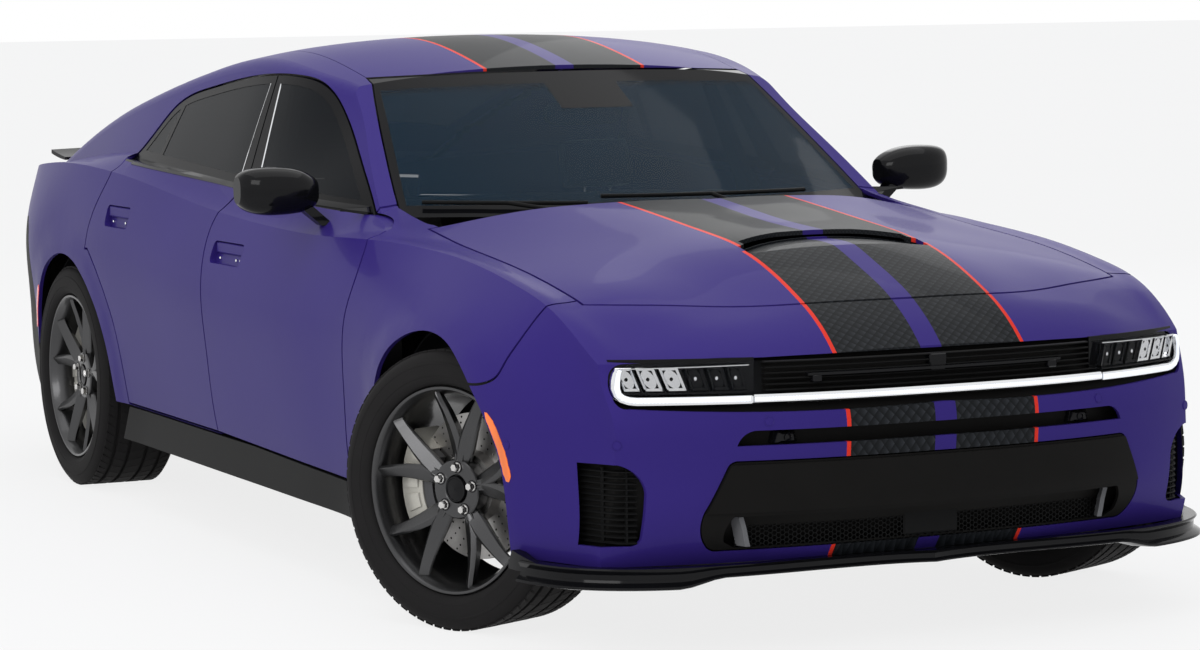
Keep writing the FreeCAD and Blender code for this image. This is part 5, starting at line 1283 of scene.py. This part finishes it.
def seats():
    flat = Matrix.Identity(3)
    lean = Matrix.Rotation(math.radians(-14), 3, "X")
    square = Matrix.Rotation(math.radians(90), 3, "X")
    foot = Vector((0, 0, 0.470))

    def leant(x, y, z):
        return foot + lean @ (Vector((x, y, z)) - foot)

    for side_name, side in SIDES:
        x = side * 0.400
        pad("seat_cushion_" + side_name, Vector((x, -0.250, 0.372)), (0.480, 0.530), 0.135, 0.016,
            sewn(0.012, False, -0.5) + sewn(0.010, False, 0.0, 0.5) + sewn(0.014, True, -0.62, 0.62),
            flat, "front_seats" if side > 0 else None)
        pad("seat_back_" + side_name, leant(x, 0.065, 0.740), (0.464, 0.540), 0.118, 0.014,
            sewn(0.010, False, -0.6, -0.2, 0.2, 0.6) + sewn(0.013, True, -0.62, 0.62), lean @ square)
        pad("head_rest_" + side_name, leant(x, 0.068, 1.105), (0.218, 0.148), 0.078, 0.008,
            sewn(0.004, False, 0.0), lean @ square)
        posts = Sheet()
        for shift in (-0.045, 0.045):
            ends = [(0.006, leant(x + shift, 0.068, z)) for z in (0.985, 1.060)]
            posts.loft(round_rings(ends, 12, lambda u, v, end: end + Vector((u, v, 0))))
        posts.piece("head_rest_posts_" + side_name, CHROME, "chassis", "exhaust_steel")
    pad("rear_bench", Vector((0, 0.655, 0.345)), (1.270, 0.440), 0.180, 0.014,
        sewn(0.010, False, -0.4, 0.2) + sewn(0.012, True, -0.12, 0.12) + sewn(0.008, True, -0.6, 0.6),
        flat, "rear_seat")
    pad("rear_backrest", Vector((0, 0.925, 0.692)), (1.190, 0.490), 0.118, 0.010,
        sewn(0.010, False, -0.5, 0.0, 0.5) + sewn(0.012, True, -0.12, 0.12), square)
# Section of a steering wheel's spoke: share of its half-width, and thickness.
SPOKE_SECTION = ((-1, -0.006), (-1, 0.003), (-0.7, 0.006), (0.7, 0.006), (1, 0.003), (1, -0.006))


def steering_wheel():
    joint = joint_named("turn_steering_wheel")
    centre, out = Vector(joint["pos_m"]), -Vector(joint["axis"])
    across = Vector((1, 0, 0))
    up = out.cross(across)
    if up.z < 0:
        up.negate()

    def spot(along, u, v):
        return centre + out * along + across * u + up * v

    rings = []
    for c, s in circle(72):
        flat = 0.97 if s < -0.9 else 1.0
        thick = 0.0155 * (1.12 if abs(s) < 0.35 else 1.0)
        rings.append([spot(thick * t, (0.180 * flat + thick * r) * c, (0.180 * flat + thick * r) * s)
                      for r, t in circle(14)])
    rim = Sheet().loft([*rings, rings[0]], caps=False)
    piece = rim.piece("steering_rim", LEATHER, "steering_wheel", "seat_leather", crease=1.2)
    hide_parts("steering_wheel")
    hub = Sheet()
    for degrees, w0, w1 in ((8, 0.024, 0.016), (172, 0.024, 0.016), (270, 0.030, 0.018)):
        c, s = math.cos(math.radians(degrees)), math.sin(math.radians(degrees))
        hub.loft([[spot(h + t, r * c - share * w * s, r * s + share * w * c) for share, t in SPOKE_SECTION]
                  for r, w, h in ((0.045, w0, 0.004), (0.090, w0 * 0.9, 0.000), (0.135, w1, -0.002),
                                  (0.172, w1, 0.0))])
    profile = ((0.9, -0.030), (1.0, 0.006), (0.96, 0.014), (0.8, 0.019), (0.4, 0.021), (0.02, 0.0215))
    hub.loft(oval_rings(profile, 40, (0.7, 0.7), (0.072, 0.055), lambda u, v, h: spot(h, u, v)))
    hub.piece("steering_hub", TRIM, "steering_wheel", "trim_plastic", crease=0.7)


def dashboard_fittings():
    rings = []
    for y, wide, high in ((-0.900, 0.150, 0.004), (-0.870, 0.185, 0.040), (-0.800, 0.190, 0.062),
                          (-0.735, 0.180, 0.058)):
        ring = [Vector((0.38 + wide * math.cos(a), y, 0.930 + high * math.sin(a) ** 0.6))
                for a in (math.pi * i / 24 for i in range(25))]
        rings.append(ring + [Vector((0.38 - wide, y, 0.918)), Vector((0.38 + wide, y, 0.918))])
    Sheet().loft(rings).piece("instrument_hood", TRIM, "chassis", "trim_plastic", crease=0.6)
    screen = Sheet().box((-0.165, -0.752, 0.800), (0.165, -0.738, 0.945), bevel=0.004)
    screen.piece("centre_screen", GLOSS_BLACK, "chassis", "black_plastic", crease=0.5)
    vane = Sheet().box((-0.055, -0.764, 0.872), (0.055, -0.754, 0.8745))
    blades = repeated(vane, ROW_OF, 5, (0, 0, 0.010), SATIN_BLACK)
    vanes = Sheet()
    for x in (-0.64, -0.27, 0.60, 0.68):
        vanes.join(blades.mapped(lambda p: p + Vector((x, 0, 0))))
    vanes.piece("dash_vents", SATIN_BLACK, "chassis", "black_plastic")


def glass_fittings():
    """Inner mirror and the sensor housing behind the top of the windshield."""
    pane = tree_of("windshield")
    top = from_front(pane, 0.0, 1.345, 0.0).y + 0.020
    low = from_front(pane, 0.0, 1.285, 0.0).y + 0.020
    housing = Sheet().loft([[Vector((-wide, y, z)), Vector((wide, y, z)), Vector((wide * 0.9, y + deep, z)),
                             Vector((-wide * 0.9, y + deep, z))] for z, y, wide, deep in (
        (1.352, top, 0.095, 0.075), (1.320, (top + low) / 2, 0.090, 0.085), (1.290, low, 0.070, 0.070),
        (1.278, low - 0.010, 0.050, 0.040))])
    profile = ((0.7, low + 0.065), (0.96, low + 0.072), (1.0, low + 0.092), (0.94, low + 0.096))
    housing.loft(oval_rings(profile, 32, (0.5, 0.6), (0.125, 0.035), lambda x, z, y: Vector((x, y, 1.262 + z))))
    housing.piece("inner_mirror", TRIM, "chassis", "trim_plastic", crease=0.6)


def tail_lamp_lines():
    """Bright lines across the rear lamp and down its ends."""
    lamp = tree_of("tail_lamp")
    low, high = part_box("tail_lamp")
    foot, top = low[2] + 0.024, high[2] - 0.030
    lines = Sheet()

    def line(path, across):
        strip(lines, path, across, lambda x, z, lift: on_skin(lamp, (x, 4, z), (0, -1, 0), lift), -0.001, 0.0012,
              0.0008)

    for z in (foot, top):
        line([(x, z, 0.0045) for x in between(-0.690, 0.690, 60)], (0.0, 1.0))
    for x in (-0.694, 0.694):
        line([(x, z, 0.0045) for z in between(foot, top, 8)], (1.0, 0.0))
    lines.piece("tail_lamp_lines", RED_GLOW, "chassis", "tail_lens", crease=0.8)


seats()
steering_wheel()
dashboard_fittings()
glass_fittings()
tail_lamp_lines()


# Stage, lights and camera.
WORLD_LIGHT = 0.62
FLOOR_WHITE = 0.82
FLOOR_SIZE = 160


def white_where_seen(tree, plain_shader, output, share):
    """Mix white into a shader where the camera, a reflection or clear glass looks at it."""
    def maths(operation, first, second):
        node = tree.nodes.new("ShaderNodeMath")
        node.operation = operation
        for socket, value in zip(node.inputs, (first, second)):
            if isinstance(value, float):
                socket.default_value = value
            else:
                tree.links.new(value, socket)
        return node.outputs[0]

    white = tree.nodes.new("ShaderNodeEmission" if output == "Material Output" else "ShaderNodeBackground")
    white.inputs["Color"].default_value = colour(1.0, 1.0, 1.0)
    white.inputs["Strength"].default_value = 1.0
    rays = tree.nodes.new("ShaderNodeLightPath").outputs
    seen = maths("MAXIMUM", rays["Is Camera Ray"], rays["Is Glossy Ray"])
    seen = maths("MAXIMUM", seen, rays["Is Transmission Ray"])
    mix = tree.nodes.new("ShaderNodeMixShader")
    tree.links.new(maths("MULTIPLY", seen, share), mix.inputs[0])
    tree.links.new(plain_shader, mix.inputs[1])
    tree.links.new(white.outputs[0], mix.inputs[2])
    tree.links.new(mix.outputs[0], tree.nodes[output].inputs["Surface"])


def stage_floor():
    """Pale floor that keeps the shadow."""
    bpy.ops.mesh.primitive_plane_add(size=FLOOR_SIZE)
    floor = bpy.context.object
    floor.name = "floor"
    shader = Shader("floor_paint", Roughness=0.8, Specular_IOR_Level=0.1)
    shader.feed("Base Color", shader.blend(shader.noise(0.5), colour(0.78, 0.78, 0.78), colour(0.82, 0.82, 0.82)))
    floor.data.materials.append(shader.material)
    white_where_seen(shader.tree, shader.surface.outputs[0], "Material Output", FLOOR_WHITE)


def studio_world():
    """Plain pale light with a white backdrop."""
    world = bpy.data.worlds.new("studio")
    bpy.context.scene.world = world
    world.use_nodes = True
    tree = world.node_tree
    light = tree.nodes["Background"]
    light.inputs["Color"].default_value = colour(0.92, 0.95, 1.0)
    light.inputs["Strength"].default_value = WORLD_LIGHT
    white_where_seen(tree, light.outputs[0], "World Output", 1.0)


stage_floor()
studio_world()


def softbox(name, power, size, place, target):
    lamp = bpy.data.lights.new(name, "AREA")
    lamp.energy = power
    lamp.shape = "RECTANGLE"
    lamp.size, lamp.size_y = size
    holder = bpy.data.objects.new(name, lamp)
    bpy.context.collection.objects.link(holder)
    holder.location = place
    holder.rotation_euler = (Vector(target) - Vector(place)).to_track_quat("-Z", "Y").to_euler()


softbox("overhead", 130, (8, 6), (0, -0.5, 6), (0, 0, 0))
softbox("front_right", 150, (4, 3), (-6, -6, 4), (0, -1, 0.6))
softbox("rear_left", 70, (6, 4), (6, 6, 5), (0, 0, 0.8))

CAMERA_PLACE = Vector((-4.6616, -10.4122, 1.6851))
CAMERA_LENS, CAMERA_SENSOR = 111.27, 36.0
YAW, PITCH, ROLL = (math.radians(a) for a in (25.515, 5.493, -0.604))


def add_camera():
    forward = Vector((math.sin(YAW) * math.cos(PITCH), math.cos(YAW) * math.cos(PITCH), -math.sin(PITCH)))
    right = forward.cross(Vector((0, 0, 1))).normalized()
    up = right.cross(forward)
    right_rolled = right * math.cos(ROLL) + up * math.sin(ROLL)
    up_rolled = up * math.cos(ROLL) - right * math.sin(ROLL)
    turn = Matrix((right_rolled, up_rolled, -forward)).transposed()
    data = bpy.data.cameras.new("camera")
    data.lens = CAMERA_LENS
    data.sensor_width = CAMERA_SENSOR
    camera = bpy.data.objects.new("camera", data)
    camera.matrix_world = Matrix.Translation(CAMERA_PLACE) @ turn.to_4x4()
    bpy.context.collection.objects.link(camera)
    bpy.context.scene.camera = camera


add_camera()
bpy.context.scene.view_settings.view_transform = "Standard"
